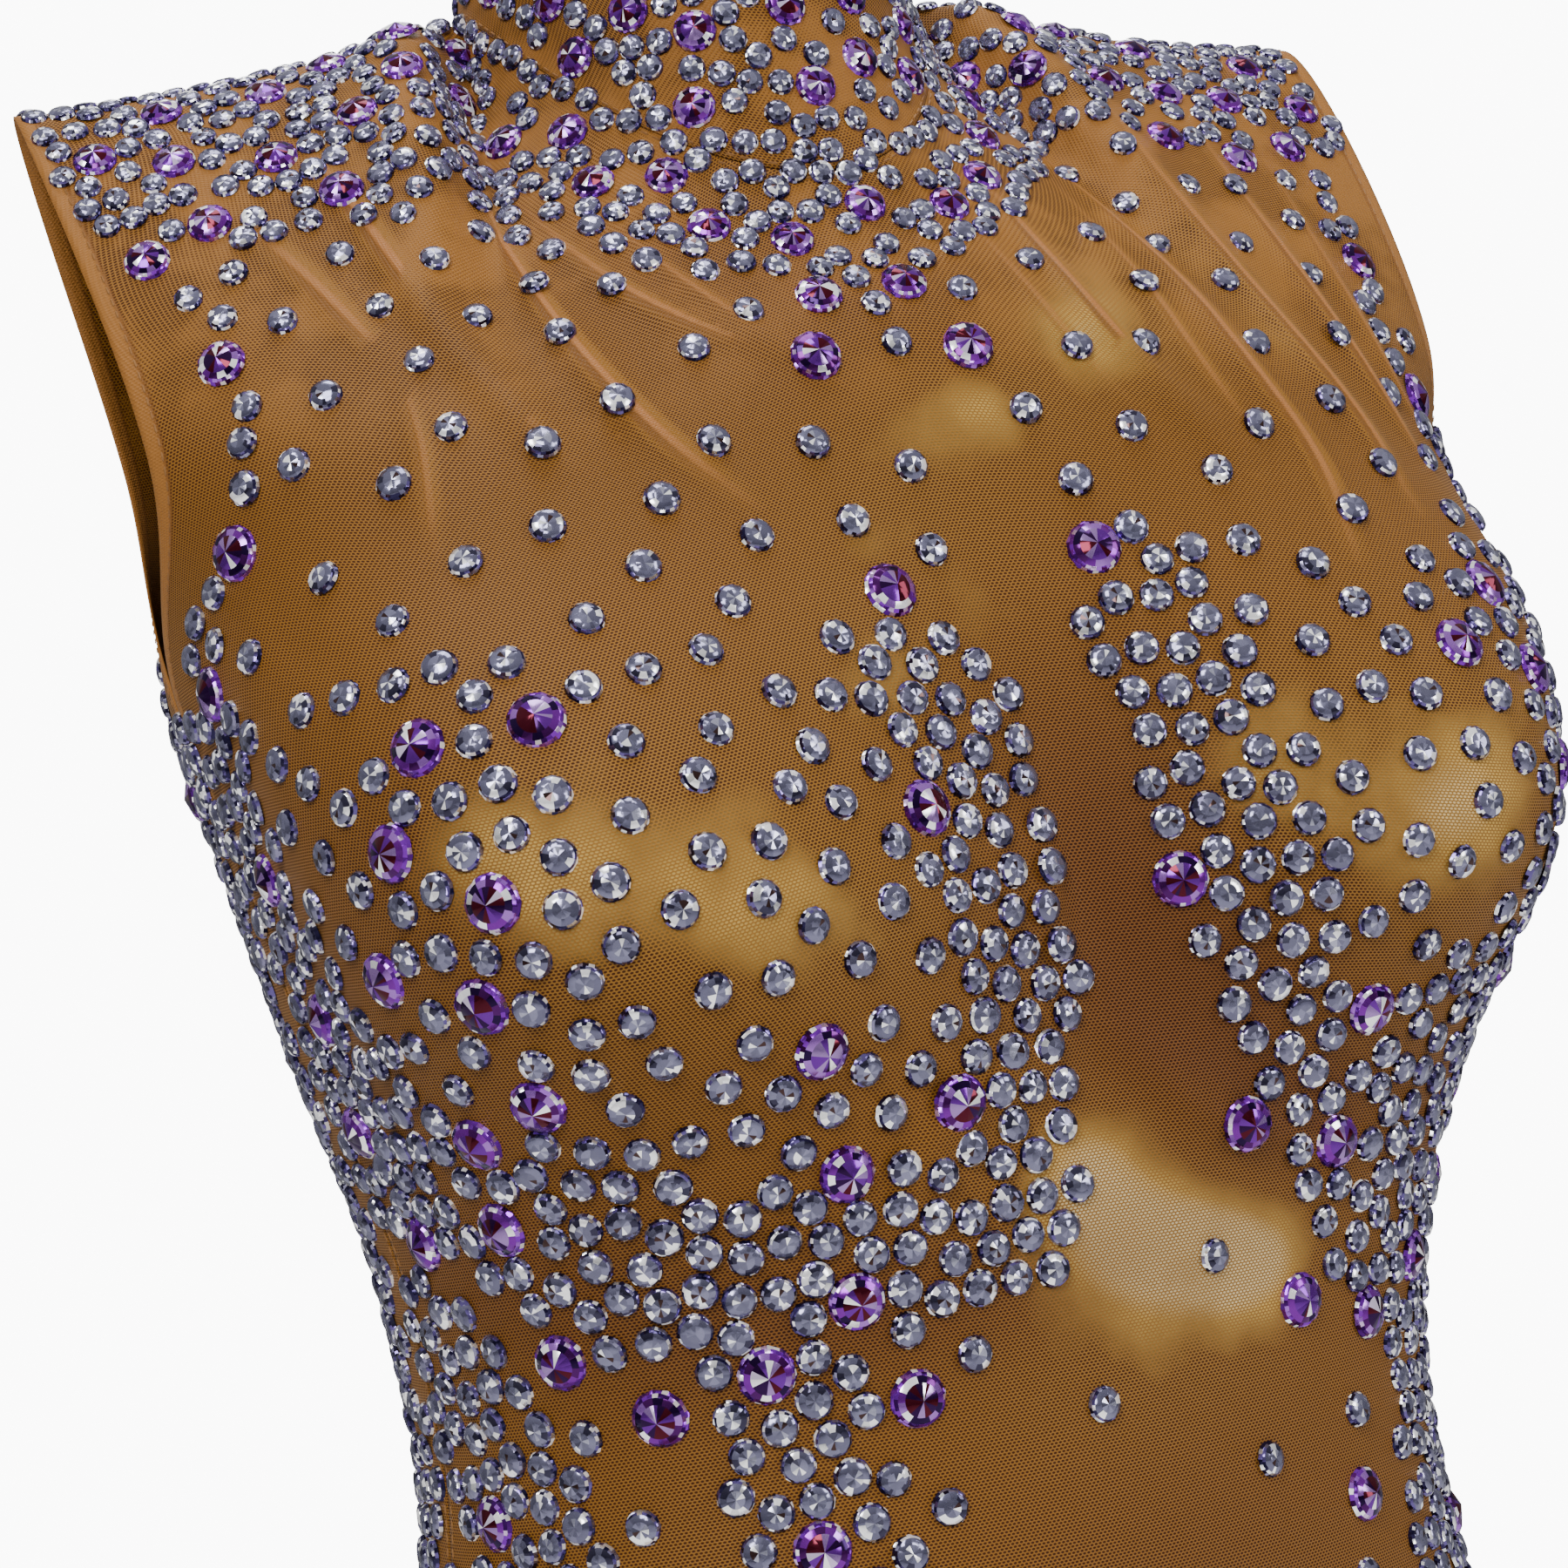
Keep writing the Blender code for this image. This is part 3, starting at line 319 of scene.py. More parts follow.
def stand(points):
    points = np.array(points, float)
    turn = TURN * smooth((points[:, 2] - TURN_FROM) / (TURN_TO - TURN_FROM))
    knots = [level.z for level in LEANS]
    shifts = [level.x for level in LEANS]
    shift = curve_at(knots, shifts, centred_slopes(knots, shifts), points[:, 2])
    x = points[:, 0] * np.cos(turn) - points[:, 1] * np.sin(turn) + shift
    y = points[:, 0] * np.sin(turn) + points[:, 1] * np.cos(turn)
    return np.stack([x, y, points[:, 2]], -1)


apex = stand(place_on("front", BUST_ACROSS, BUST_UP))[0]
print("the left apex of the bust is at", apex.round(3))

# %% [markdown]
# ## Creases
# Stretched net has no soft folds. It forms thin drag lines where it is pulled: fans of narrow ridges
# from the collar over the upper chest, a bridge line under the bust, and small rolls where a limb
# bends. A simulation would blur them, so each one is listed, with its own length and depth.

# %% Drag lines and rolls
Crease = namedtuple(
    "Crease", "across0 up0 across1 up1 height half_width crisp bow", defaults=(0.0, 0.12)
)
CREASES = {
    "front": (
        (0.245, -0.06, 0.277, -0.119, 0.0022, 0.0042, 1.0, 0.02),
        (0.445, -0.066, 0.331, -0.146, 0.0026, 0.0046, 1.0, -0.03),
        (0.556, -0.068, 0.45, -0.137, 0.0026, 0.0044, 1.0, -0.05),
        (0.69, -0.066, 0.582, -0.126, 0.0023, 0.0042, 0.9, -0.03),
        (0.38, -0.072, 0.333, -0.114, 0.0012, 0.0034, 0.45, 0.0),
        (0.248, -0.112, 0.262, -0.134, 0.0011, 0.0032, 0.5, 0.0),
        (0.78, -0.068, 0.69, -0.118, 0.0014, 0.0036, 0.4, 0.0),
        (0.18, -0.064, 0.205, -0.104, 0.001, 0.0034, 0.3, 0.0),
        (-0.478, -0.06, -0.25, -0.12, 0.0024, 0.0046, 0.9, 0.02),
        (-0.662, -0.055, -0.5, -0.09, 0.0024, 0.0044, 1.0, 0.03),
        (-0.52, -0.086, -0.405, -0.11, 0.0017, 0.0052, 0.2, 0.0),
        (-0.375, -0.066, -0.195, -0.089, 0.0014, 0.0038, 0.6, 0.02),
        (-0.268, -0.063, -0.128, -0.096, 0.0011, 0.0036, 0.45, 0.0),
        (-0.745, -0.065, -0.632, -0.083, 0.0014, 0.0036, 0.6, 0.0),
        (-0.585, -0.094, -0.5, -0.128, 0.001, 0.004, 0.3, 0.0),
        (-0.7, -0.14, -0.52, -0.168, -0.0006, 0.005),
        (0.01, -0.215, 0.02, -0.262, 0.0026, 0.005),
        (0.04, -0.27, 0.24, -0.3, 0.0024, 0.005),
        (-0.04, -0.27, -0.22, -0.302, 0.0022, 0.005),
        (0.88, -0.33, 0.52, -0.342, -0.0008, 0.006),
        (0.94, -0.365, 0.64, -0.372, -0.001, 0.0055),
        (-0.94, -0.35, -0.6, -0.362, -0.0009, 0.006),
        (-0.2, -0.458, 0.18, -0.455, -0.0008, 0.007),
    ),
    "back_left": (
        (0.34, -0.06, 0.6, -0.13, 0.0012, 0.005),
        (0.5, -0.052, 0.78, -0.12, 0.001, 0.0045),
        (0.1, -0.335, 0.46, -0.35, -0.0012, 0.007),
        (0.06, -0.362, 0.58, -0.372, -0.0014, 0.0065),
        (0.12, -0.392, 0.4, -0.396, -0.0009, 0.006),
    ),
    "back_right": (
        (-0.3, -0.062, -0.56, -0.126, 0.0011, 0.0048),
        (-0.46, -0.05, -0.74, -0.116, 0.0012, 0.005),
        (-0.08, -0.34, -0.52, -0.352, -0.0011, 0.0065),
        (-0.06, -0.37, -0.5, -0.378, -0.0013, 0.007),
    ),
    "leg_left": (
        (0.06, -0.64, 0.34, -0.575, -0.0016, 0.008),
        (0.05, -0.662, 0.3, -0.62, -0.0014, 0.007),
        (0.64, -0.64, 0.96, -0.668, -0.002, 0.008),
        (0.66, -0.962, 0.9, -0.95, -0.0014, 0.006),
        (0.62, -0.982, 0.94, -0.99, -0.0016, 0.006),
        (0.1, -1.268, 0.52, -1.276, 0.0014, 0.006),
        (0.46, -1.29, 0.96, -1.284, 0.0016, 0.0055),
        (0.2, -1.304, 0.6, -1.308, 0.0011, 0.005),
    ),
    "leg_right": (
        (0.06, -0.634, 0.36, -0.58, -0.0015, 0.0075),
        (0.04, -0.66, 0.28, -0.628, -0.0013, 0.007),
        (0.66, -0.645, 0.97, -0.664, -0.0018, 0.0085),
        (0.62, -0.958, 0.92, -0.964, -0.0015, 0.006),
        (0.66, -0.99, 0.88, -0.982, -0.0012, 0.0055),
        (0.14, -1.264, 0.6, -1.272, 0.0015, 0.006),
        (0.5, -1.292, 0.92, -1.298, 0.0012, 0.0052),
    ),
}
CREASE_START, CREASE_END, RIDGE_LONGER = 0.12, 0.95, 0.20
FlatScale = namedtuple("FlatScale", "across up")
BODY_SCALE, COLLAR_SCALE, LEG_SCALE = FlatScale(0.22, 1.0), FlatScale(0.09, 0.08), FlatScale(0.40, 1.0)


def flat_scale(piece):
    if piece == "collar":
        return COLLAR_SCALE
    return LEG_SCALE if piece.startswith("leg") else BODY_SCALE


def crease_lines(piece, across, up):
    """For each crease of a piece: the signed distance to its line and its strength along it."""
    scale = flat_scale(piece)
    for row in CREASES.get(piece, ()):
        crease = Crease(*row)
        longer = 1 + RIDGE_LONGER * (crease.crisp > 0)
        run_x = (crease.across1 - crease.across0) * scale.across * longer
        run_y = (crease.up1 - crease.up0) * scale.up * longer
        length = math.hypot(run_x, run_y)
        from_x = (across - crease.across0) * scale.across
        from_y = (up - crease.up0) * scale.up
        t = (from_x * run_x + from_y * run_y) / length**2
        bow = crease.bow * length * np.sin(math.pi * np.clip(t, 0, 1))
        off = (from_y * run_x - from_x * run_y) / length + bow
        wave = CREASE_START + (CREASE_END - CREASE_START) * np.clip(t, 0, 1)
        over = np.maximum(np.maximum(-t, t - 1), 0) * length
        strength = np.sin(math.pi * wave) * np.exp(-((over / (2 * crease.half_width)) ** 2))
        yield crease, off, strength


def crease_height(piece, across, up):
    """How far the creases raise the cloth at each place, with a soft profile."""
    raised = np.zeros(len(across))
    for crease, off, strength in crease_lines(piece, across, up):
        raised += crease.height * strength * np.exp(-((off / crease.half_width) ** 2))
    return raised


PINCH_REACH, PINCH_GAIN, FAINT = 0.0036, 1.4, 0.02
HAND_OVER, HAND_FADE = 0.005, 0.003


def crest_at(piece, across, up):
    """The signed distance to the nearest crisp crease, and its strength there.

    The strength is gone halfway between two creases, where the distance jumps to the other one's.
    """
    crest, nearest, second = [np.full(len(across), 1.0) for _ in range(3)]
    pinch = np.zeros(len(across))
    for crease, off, strength in crease_lines(piece, across, up):
        if not crease.crisp:
            continue
        far = np.where(strength > FAINT, np.abs(off), 1.0)
        nearer = far < nearest
        second = np.minimum(second, np.maximum(far, nearest))
        nearest = np.minimum(nearest, far)
        crest = np.where(nearer, off, crest)
        pinch = np.where(nearer, np.clip(PINCH_GAIN * crease.crisp * strength, 0, 1), pinch)
    pinch *= np.clip(2.0 - nearest / PINCH_REACH, 0, 1)
    pinch *= np.clip((second - nearest - HAND_OVER) / HAND_FADE, 0, 1)
    return crest, pinch


print("creases:", sum(len(rows) for rows in CREASES.values()), "on", len(CREASES), "pieces")

# %% [markdown]
# ## The cloth
# Each cloth piece is a fine grid of points on its solid's outer face, turned into a thin shell: the
# outer face, an inner face half a millimetre inside it, and a rim. A UV map in real metres follows
# the grain, so the net's holes keep one size wherever the cloth is stretched. Five attributes travel
# with the points: two for the painted gold highlights and the painted dark shade in the colour, edge
# for the distance to a raw edge, and crest and pinch for the place and strength of the drag lines.

# %% Painted highlights and painted shade on the net
Tone = namedtuple("Tone", "across up reach_across reach_up strength")
# Painted highlights: soft patches where the net's colour is made bright gold.
PAINTED_HIGHLIGHTS = {
    "front": (
        (-0.36, -0.222, 0.24, 0.03, 0.55),
        (-0.45, -0.213, 0.08, 0.014, 0.28),
        (-0.23, -0.236, 0.09, 0.016, 0.4),
        (-0.1, -0.185, 0.08, 0.018, 0.3),
        (0.34, -0.222, 0.2, 0.034, 0.55),
        (0.3, -0.232, 0.08, 0.018, 0.4),
        (0.16, -0.216, 0.05, 0.02, 0.5),
        (-0.02, -0.296, 0.08, 0.016, 0.9),
        (0.06, -0.315, 0.12, 0.014, 0.85),
        (0.17, -0.325, 0.09, 0.012, 0.7),
        (0.04, -0.336, 0.19, 0.026, 0.5),
        (-0.04, -0.15, 0.12, 0.036, 0.4),
        (0.21, -0.098, 0.07, 0.016, 0.75),
        (0.06, -0.118, 0.08, 0.014, 0.55),
        (0.3, -0.086, 0.07, 0.02, 0.45),
        (0.5, -0.094, 0.05, 0.02, 0.4),
    ),
    "back": (
        (0.45, -0.15, 0.25, 0.05, 0.5),
        (0.4, -0.43, 0.25, 0.04, 0.5),
    ),
    "leg": (
        (0.3, -0.76, 0.14, 0.16, 0.55),
        (0.76, -0.58, 0.14, 0.06, 0.6),
        (0.78, -1.08, 0.14, 0.08, 0.45),
    ),
}
# Painted shade: soft patches where the net's colour is made dark brown, in hollows such as between and
# under the bust.
PAINTED_SHADE = {
    "front": (
        (0.06, -0.395, 0.3, 0.046, 0.45),
        (0.1, -0.455, 0.3, 0.03, 0.25),
        (0.04, -0.228, 0.1, 0.044, 0.95),
        (0.12, -0.266, 0.11, 0.022, 0.95),
        (0.22, -0.29, 0.1, 0.014, 0.9),
        (-0.3, -0.318, 0.34, 0.016, 0.8),
        (-0.7, -0.3, 0.3, 0.02, 0.6),
        (0.5, -0.3, 0.22, 0.024, 0.6),
        (-0.8, -0.24, 0.22, 0.05, 0.45),
        (-0.55, -0.215, 0.1, 0.03, 0.4),
        (-0.16, -0.07, 0.3, 0.024, 0.35),
    ),
    "back": (
        (0.06, -0.26, 0.1, 0.12, 0.6),
    ),
    "leg": (
        (0.8, -0.97, 0.16, 0.03, 0.6),
        (0.02, -0.8, 0.1, 0.2, 0.6),
    ),
}


def patches_at(rows, across, up):
    """The sum of soft oval patches at each place, at most 1."""
    total = np.zeros(len(across))
    for row in rows:
        tone = Tone(*row)
        near = ((across - tone.across) / tone.reach_across) ** 2
        total += tone.strength * np.exp(-near - ((up - tone.up) / tone.reach_up) ** 2)
    return np.clip(total, 0, 1)


def painted_light_at(piece, across, up):
    """Shares of painted highlight and painted shade. The two backs mirror each other, and so do the legs.
    """
    family = piece.split("_")[0]
    side = np.abs(across) if family == "back" else across
    return [patches_at(table.get(family, ()), side, up) for table in (PAINTED_HIGHLIGHTS, PAINTED_SHADE)]


print("patches on the front:", len(PAINTED_HIGHLIGHTS["front"]), "gold and", len(PAINTED_SHADE["front"]), "dark")

# %% Grids of cloth points
def add_object(name, data):
    made = bpy.data.objects.new(name, data)
    bpy.context.scene.collection.objects.link(made)
    return made


def add_mesh(name, verts, faces):
    mesh = bpy.data.meshes.new(name)
    mesh.from_pydata(np.asarray(verts, float).tolist(), [], faces)
    return add_object(name, mesh)


def add_values(mesh, name, values):
    """Keeps one number for each point of a mesh."""
    kept = mesh.attributes.new(name, "FLOAT", "POINT")
    kept.data.foreach_set("value", np.asarray(values, np.float32))


def distances(points):
    """Distance of each point from the first, along the line through them all."""
    steps = np.linalg.norm(np.diff(points, axis=0), axis=1)
    return np.append(0, np.cumsum(steps))


GRID_STEP = {"front": 0.0027, "back": 0.0035, "collar": 0.0030, "leg": 0.0048}
SHELL, SAMPLE_LINES = 0.0005, 5


def grid_of(piece):
    """Columns and rows spaced by the piece's own step."""
    reach = PIECES[piece]
    step = GRID_STEP[piece.split("_")[0]]
    fine = 200
    widest, tallest = 0, 0
    for part in np.linspace(0.05, 0.95, SAMPLE_LINES):
        up = np.full(fine, reach.bottom + (reach.top - reach.bottom) * part)
        line = place_on(piece, np.linspace(reach.low, reach.high, fine), up)
        widest = max(widest, distances(line)[-1])
        across = np.full(fine, reach.low + (reach.high - reach.low) * part)
        line = place_on(piece, across, np.linspace(reach.bottom, reach.top, fine))
        tallest = max(tallest, distances(line)[-1])
    columns = np.linspace(reach.low, reach.high, 2 * round(widest / step / 2) + 1)
    rows = np.linspace(reach.bottom, reach.top, round(tallest / step) + 1)
    if piece.startswith("leg"):
        rows[np.abs(rows - CROTCH_Z).argmin()] = CROTCH_Z
    return columns, rows


def seams_of(piece):
    zip_gap = ZIP_HALF + HALF_SEAM
    low = zip_gap if piece in ("back_left", "collar") else HALF_SEAM
    high = zip_gap if piece in ("back_right", "collar") else HALF_SEAM
    if piece.startswith("leg"):
        low = high = 0.0
    return low, high


def pulled_in(net, piece):
    """Stops each edge of a grid short of its seam."""
    low, high = seams_of(piece)
    net = net.copy()
    for gap, near, far in ((low, 0, 1), (high, -1, -2)):
        step = net[:, far] - net[:, near]
        net[:, near] += step * (gap / np.maximum(np.linalg.norm(step, axis=1), 1e-6))[:, None]
    for near, far in ((0, 1), (-1, -2)):
        step = net[far] - net[near]
        net[near] += step * (HALF_SEAM / np.linalg.norm(step, axis=1))[:, None]
    return net


def run_lengths(net, axis):
    """Distance along each grid line from its start."""
    step = np.linalg.norm(np.diff(net, axis=axis), axis=2)
    zero = np.zeros_like(np.take(step, [0], axis=axis))
    return np.cumsum(np.concatenate([zero, step], axis=axis), axis=axis)


def make_cloth(piece):
    """The thin shell of one piece, with its UV map and attributes."""
    columns, rows = grid_of(piece)
    wide, high = len(columns), len(rows)
    across, up = [a.ravel() for a in np.meshgrid(columns, rows)]
    points, normals = place_on(piece, across, up), outward_on(piece, across, up)
    net = pulled_in(points.reshape(high, wide, 3), piece)
    u, v = run_lengths(net, 1), run_lengths(net, 0)
    u -= u[:, [wide // 2]]
    lift = WALL + crease_height(piece, across, up)
    outer = net.reshape(-1, 3) + normals * lift[:, None]
    inner = outer - normals * SHELL
    if piece.startswith("leg"):
        side = 1 if piece == "leg_left" else -1
        for wall in (outer, inner):
            wall[:, 0] = side * np.maximum(side * wall[:, 0], HALF_SEAM)
    shift = wide * high
    index = np.arange(shift).reshape(high, wide)
    point_at = index.copy()
    if piece.startswith("leg"):
        closed = rows <= CROTCH_Z
        point_at[closed, -1] = point_at[closed, 0]
    corners = [index[:-1, :-1], index[:-1, 1:], index[1:, 1:], index[1:, :-1]]
    quads = np.stack([c.ravel() for c in corners], 1)
    out_faces = point_at.ravel()[quads]
    in_faces = out_faces[:, ::-1] + shift
    ends = np.concatenate([out_faces[:, [i, (i + 1) % 4]] for i in range(4)])
    uv_ends = np.concatenate([quads[:, [i, (i + 1) % 4]] for i in range(4)])
    known = {(int(a), int(b)) for a, b in ends}
    open_ends = [i for i, (a, b) in enumerate(ends) if (int(b), int(a)) not in known]
    start, end = ends[open_ends].T
    rim = np.stack([end, start, start + shift, end + shift], 1)
    start, end = uv_ends[open_ends].T
    rim_uv = np.stack([end, start, start, end], 1)
    faces = np.concatenate([out_faces, in_faces, rim])
    uv_index = np.concatenate([quads, quads[:, ::-1], rim_uv])
    if PIECES[piece].outward < 0:
        faces, uv_index = faces[:, ::-1], uv_index[:, ::-1]
    verts = stand(np.concatenate([outer, inner]))
    used, number = np.unique(faces, return_inverse=True)
    faces = number.reshape(faces.shape)
    made = add_mesh(piece + "_cloth", verts[used], faces.tolist())
    mesh = made.data
    uvs = np.stack([u.ravel(), v.ravel()], 1)[uv_index.ravel()]
    mesh.uv_layers.new(name="grain").data.foreach_set("uv", uvs.astype(np.float32).ravel())
    gold, deep = painted_light_at(piece, across, up)
    crest, pinch = crest_at(piece, across, up)
    edge = edge_distance(piece, u, v, up)
    kept = {"gold": gold, "deep": deep, "edge": edge, "crest": crest, "pinch": pinch}
    for name, values in kept.items():
        add_values(mesh, name, np.tile(values, 2)[used])
    mesh.shade_smooth()
    mesh.update()
    return made


def edge_distance(piece, u, v, up):
    """Distance to the nearest raw edge: an armhole, the collar's top or a hem."""
    far = np.full(u.shape, 1.0)
    if piece == "collar":
        far = v[-1] - v
    elif piece.startswith("leg"):
        far = v - v[0]
    else:
        arm = up.reshape(u.shape) >= ARM_Z
        if PIECES[piece].low == -1:
            far = np.where(arm, np.minimum(far, u - u[:, [0]]), far)
        if PIECES[piece].high == 1:
            far = np.where(arm, np.minimum(far, u[:, [-1]] - u), far)
    return far.ravel()


cloth = {}
for piece in PIECES:
    cloth[piece] = make_cloth(piece)
    print(piece, "cloth has", len(cloth[piece].data.polygons), "faces")

# %% [markdown]
# ## Where the stones go
# The large pointed stones are part of the solid model, so they keep its places: the same bands and
# the same seed give the same scatter. The small stones then fill in round them. Real decorators set
# them close together in bands over the yoke, round the bust and at the waist, and strew single ones
# between. A table of bands with a spacing for each says this in a few rows, and the stones push each
# other apart until they sit like a hand-set field rather than a grid.

# %% Large stones, as in the solid model
Band = namedtuple("Band", "across0 up0 across1 up1 across2 up2 half_width apart")
BANDS = {
    "collar": (
        (0.0, 0.5, 0.7, 0.5, 1.8, 0.5, 0.03, 0.0195),
    ),
    "front": (
        (0.04, -0.042, 0.26, -0.038, 0.46, -0.032, 0.016, 0.0205),
        (0.46, -0.034, 0.7, -0.045, 0.92, -0.048, 0.019, 0.0205),
        (0.03, -0.06, 0.04, -0.08, 0.09, -0.098, 0.011, 0.02),
        (0.86, -0.075, 0.74, -0.12, 0.82, -0.16, 0.007, 0.034),
        (0.4, -0.19, 0.6, -0.23, 0.7, -0.31, 0.019, 0.022),
        (0.84, -0.175, 0.9, -0.22, 0.88, -0.31, 0.016, 0.028),
        (0.09, -0.16, 0.08, -0.225, 0.16, -0.3, 0.006, 0.04),
        (0.24, -0.262, 0.28, -0.29, 0.3, -0.31, 0.012, 0.026),
        (0.68, -0.318, 0.4, -0.345, 0.18, -0.33, 0.012, 0.024),
        (0.84, -0.325, 0.64, -0.39, 0.72, -0.468, 0.022, 0.03),
        (0.33, -0.355, 0.32, -0.4, 0.24, -0.468, 0.012, 0.034),
    ),
    "back": (
        (0.16, -0.032, 0.5, -0.04, 0.92, -0.044, 0.017, 0.023),
        (0.86, -0.175, 0.6, -0.235, 0.74, -0.32, 0.022, 0.028),
        (0.7, -0.325, 0.45, -0.345, 0.2, -0.325, 0.012, 0.03),
        (0.84, -0.335, 0.62, -0.395, 0.72, -0.468, 0.02, 0.034),
    ),
    "leg_left": (
        (0.52, -0.485, 0.5, -0.6, 0.54, -0.72, 0.028, 0.038),
        (0.28, -0.48, 0.36, -0.56, 0.44, -0.66, 0.012, 0.044),
    ),
}
LARGE_RADIUS, LARGE_RISE, NECK_SIZE = 0.0065, 0.0034, 0.80
SMALLER_FROM, SMALLER_TO = -0.13, -0.04
BAND_TRIES, SCATTER_SEED, EDGE_CLEAR = 400, 11, 0.0105
NEAR_ZIP_BACK, NEAR_ZIP_COLLAR = 0.2, 1.8


def size_share(piece, up):
    """The stones get smaller towards the neck."""
    if piece == "collar":
        return np.full(np.shape(up), NECK_SIZE)
    if piece.startswith("leg"):
        return np.ones(np.shape(up))
    return 1.0 - (1.0 - NECK_SIZE) * smooth((up - SMALLER_FROM) / (SMALLER_TO - SMALLER_FROM))


def near_zip(piece, across):
    if piece == "collar":
        return abs(across) > NEAR_ZIP_COLLAR
    return piece.startswith("back") and abs(across) < NEAR_ZIP_BACK


def nearest_edge(piece, across, up):
    reach = PIECES[piece]
    spot = place_on(piece, across, up)[0]
    sides = [(reach.low, up), (reach.high, up), (across, reach.bottom), (across, reach.top)]
    if piece.startswith("leg") and up < CROTCH_Z:
        sides = sides[2:]
    return min(np.linalg.norm(spot - place_on(piece, a, u)[0]) for a, u in sides)


def bent(band, t):
    """The place at share t along the band's curved middle line."""
    shares = (1 - t) ** 2, 2 * t * (1 - t), t * t
    across = shares[0] * band.across0 + shares[1] * band.across1 + shares[2] * band.across2
    return across, shares[0] * band.up0 + shares[1] * band.up1 + shares[2] * band.up2


def stones_in_band(piece, band, side, rng, taken):
    if piece == "back":
        piece = "back_left" if side > 0 else "back_right"
    if piece == "leg_left" and side < 0:
        piece, side = "leg_right", 1
    reach, scale = PIECES[piece], flat_scale(piece)
    found = []
    for _ in range(BAND_TRIES):
        t = rng.random()
        off = rng.uniform(-1, 1) * band.half_width
        turn = rng.uniform(0, 2 * math.pi)
        across, up = bent(band, t)
        across = side * (across + off * math.cos(turn) / scale.across)
        up += off * math.sin(turn) / scale.up
        if not (reach.low < across < reach.high and reach.bottom < up < reach.top):
            continue
        spot = place_on(piece, across, up)[0]
        size = float(size_share(piece, up))
        if any(np.linalg.norm(spot - other) <= band.apart * size for other in taken):
            continue
        clear = EDGE_CLEAR * size + (ZIP_HALF if near_zip(piece, across) else 0)
        if nearest_edge(piece, across, up) >= clear:
            taken.append(spot)
            found.append((piece, across, up, LARGE_RADIUS * size))
    return found


rng = random.Random(SCATTER_SEED)
large, taken = [], []
for piece, rows in BANDS.items():
    for row in rows:
        for side in (1, -1):
            large += stones_in_band(piece, Band(*row), side, rng, taken)
print("large stones:", len(large))

# %% Bands of small stones
# The last number of a row is the distance between middles in stone widths. At 1.0 they just touch.
FIELDS = {
    "front": (
        (-0.99, -0.04, -0.7, -0.042, -0.4, -0.038, 0.0225, 0.97),
        (-0.42, -0.04, -0.2, -0.04, 0.0, -0.04, 0.0205, 0.97),
        (0.0, -0.04, 0.2, -0.04, 0.42, -0.04, 0.0205, 0.97),
        (0.4, -0.038, 0.7, -0.04, 0.99, -0.038, 0.0205, 0.97),
        (-0.62, -0.06, -0.4, -0.066, -0.16, -0.062, 0.006, 1.55),
        (-0.02, -0.056, -0.03, -0.066, -0.04, -0.078, 0.009, 1.15),
        (-0.95, -0.058, -0.9, -0.068, -0.86, -0.078, 0.01, 1.3),
        (-0.84, -0.082, -0.765, -0.11, -0.83, -0.152, 0.0056, 1.12),
        (0.92, -0.06, 0.8, -0.085, 0.76, -0.105, 0.0056, 1.12),
        (0.76, -0.105, 0.7, -0.125, 0.74, -0.155, 0.0056, 1.12),
        (-0.9, -0.155, -0.85, -0.175, -0.87, -0.2, 0.02, 1.16),
        (-0.9, -0.195, -0.88, -0.235, -0.8, -0.265, 0.026, 1.12),
        (-0.99, -0.258, -0.66, -0.282, -0.46, -0.303, 0.02, 1.06),
        (-0.56, -0.304, -0.36, -0.312, -0.12, -0.302, 0.0165, 1.07),
        (-0.45, -0.185, -0.5, -0.215, -0.5, -0.262, 0.017, 1.26),
        (-0.075, -0.182, -0.03, -0.24, -0.1, -0.305, 0.0125, 1.1),
        (-0.38, -0.335, -0.34, -0.37, -0.31, -0.41, 0.019, 1.08),
        (-0.31, -0.405, -0.28, -0.44, -0.2, -0.468, 0.017, 1.1),
        (-0.92, -0.322, -0.74, -0.352, -0.72, -0.4, 0.024, 1.08),
        (-0.72, -0.4, -0.74, -0.44, -0.8, -0.468, 0.026, 1.09),
        (-0.4, -0.262, -0.28, -0.272, -0.14, -0.268, 0.015, 1.75),
        (0.9, -0.155, 0.82, -0.21, 0.84, -0.27, 0.03, 1.15),
        (0.46, -0.185, 0.52, -0.22, 0.54, -0.265, 0.017, 1.24),
        (0.98, -0.262, 0.66, -0.28, 0.38, -0.28, 0.019, 1.08),
        (0.38, -0.285, 0.42, -0.31, 0.52, -0.345, 0.02, 1.09),
        (0.6, -0.345, 0.54, -0.395, 0.52, -0.468, 0.029, 1.08),
        (0.12, -0.164, 0.11, -0.225, 0.225, -0.287, 0.0105, 1.12),
        (0.2, -0.285, 0.27, -0.305, 0.36, -0.335, 0.01, 1.15),
    ),
    "back": (
        (0.08, -0.032, 0.5, -0.038, 0.99, -0.038, 0.021, 1.04),
        (0.9, -0.06, 0.8, -0.11, 0.84, -0.155, 0.007, 1.15),
        (0.88, -0.165, 0.76, -0.235, 0.82, -0.315, 0.026, 1.12),
        (0.82, -0.312, 0.5, -0.345, 0.08, -0.332, 0.016, 1.1),
        (0.85, -0.34, 0.62, -0.4, 0.72, -0.468, 0.025, 1.1),
        (0.09, -0.06, 0.075, -0.18, 0.09, -0.32, 0.007, 1.16),
    ),
    "leg": (
        (0.52, -0.474, 0.5, -0.58, 0.54, -0.69, 0.037, 1.19),
        (0.54, -0.69, 0.55, -0.76, 0.57, -0.83, 0.025, 1.75),
        (0.24, -0.474, 0.34, -0.56, 0.44, -0.64, 0.015, 1.16),
        (0.84, -0.474, 0.74, -0.56, 0.64, -0.65, 0.015, 1.18),
    ),
}
SMALL_RADIUS = 0.00415
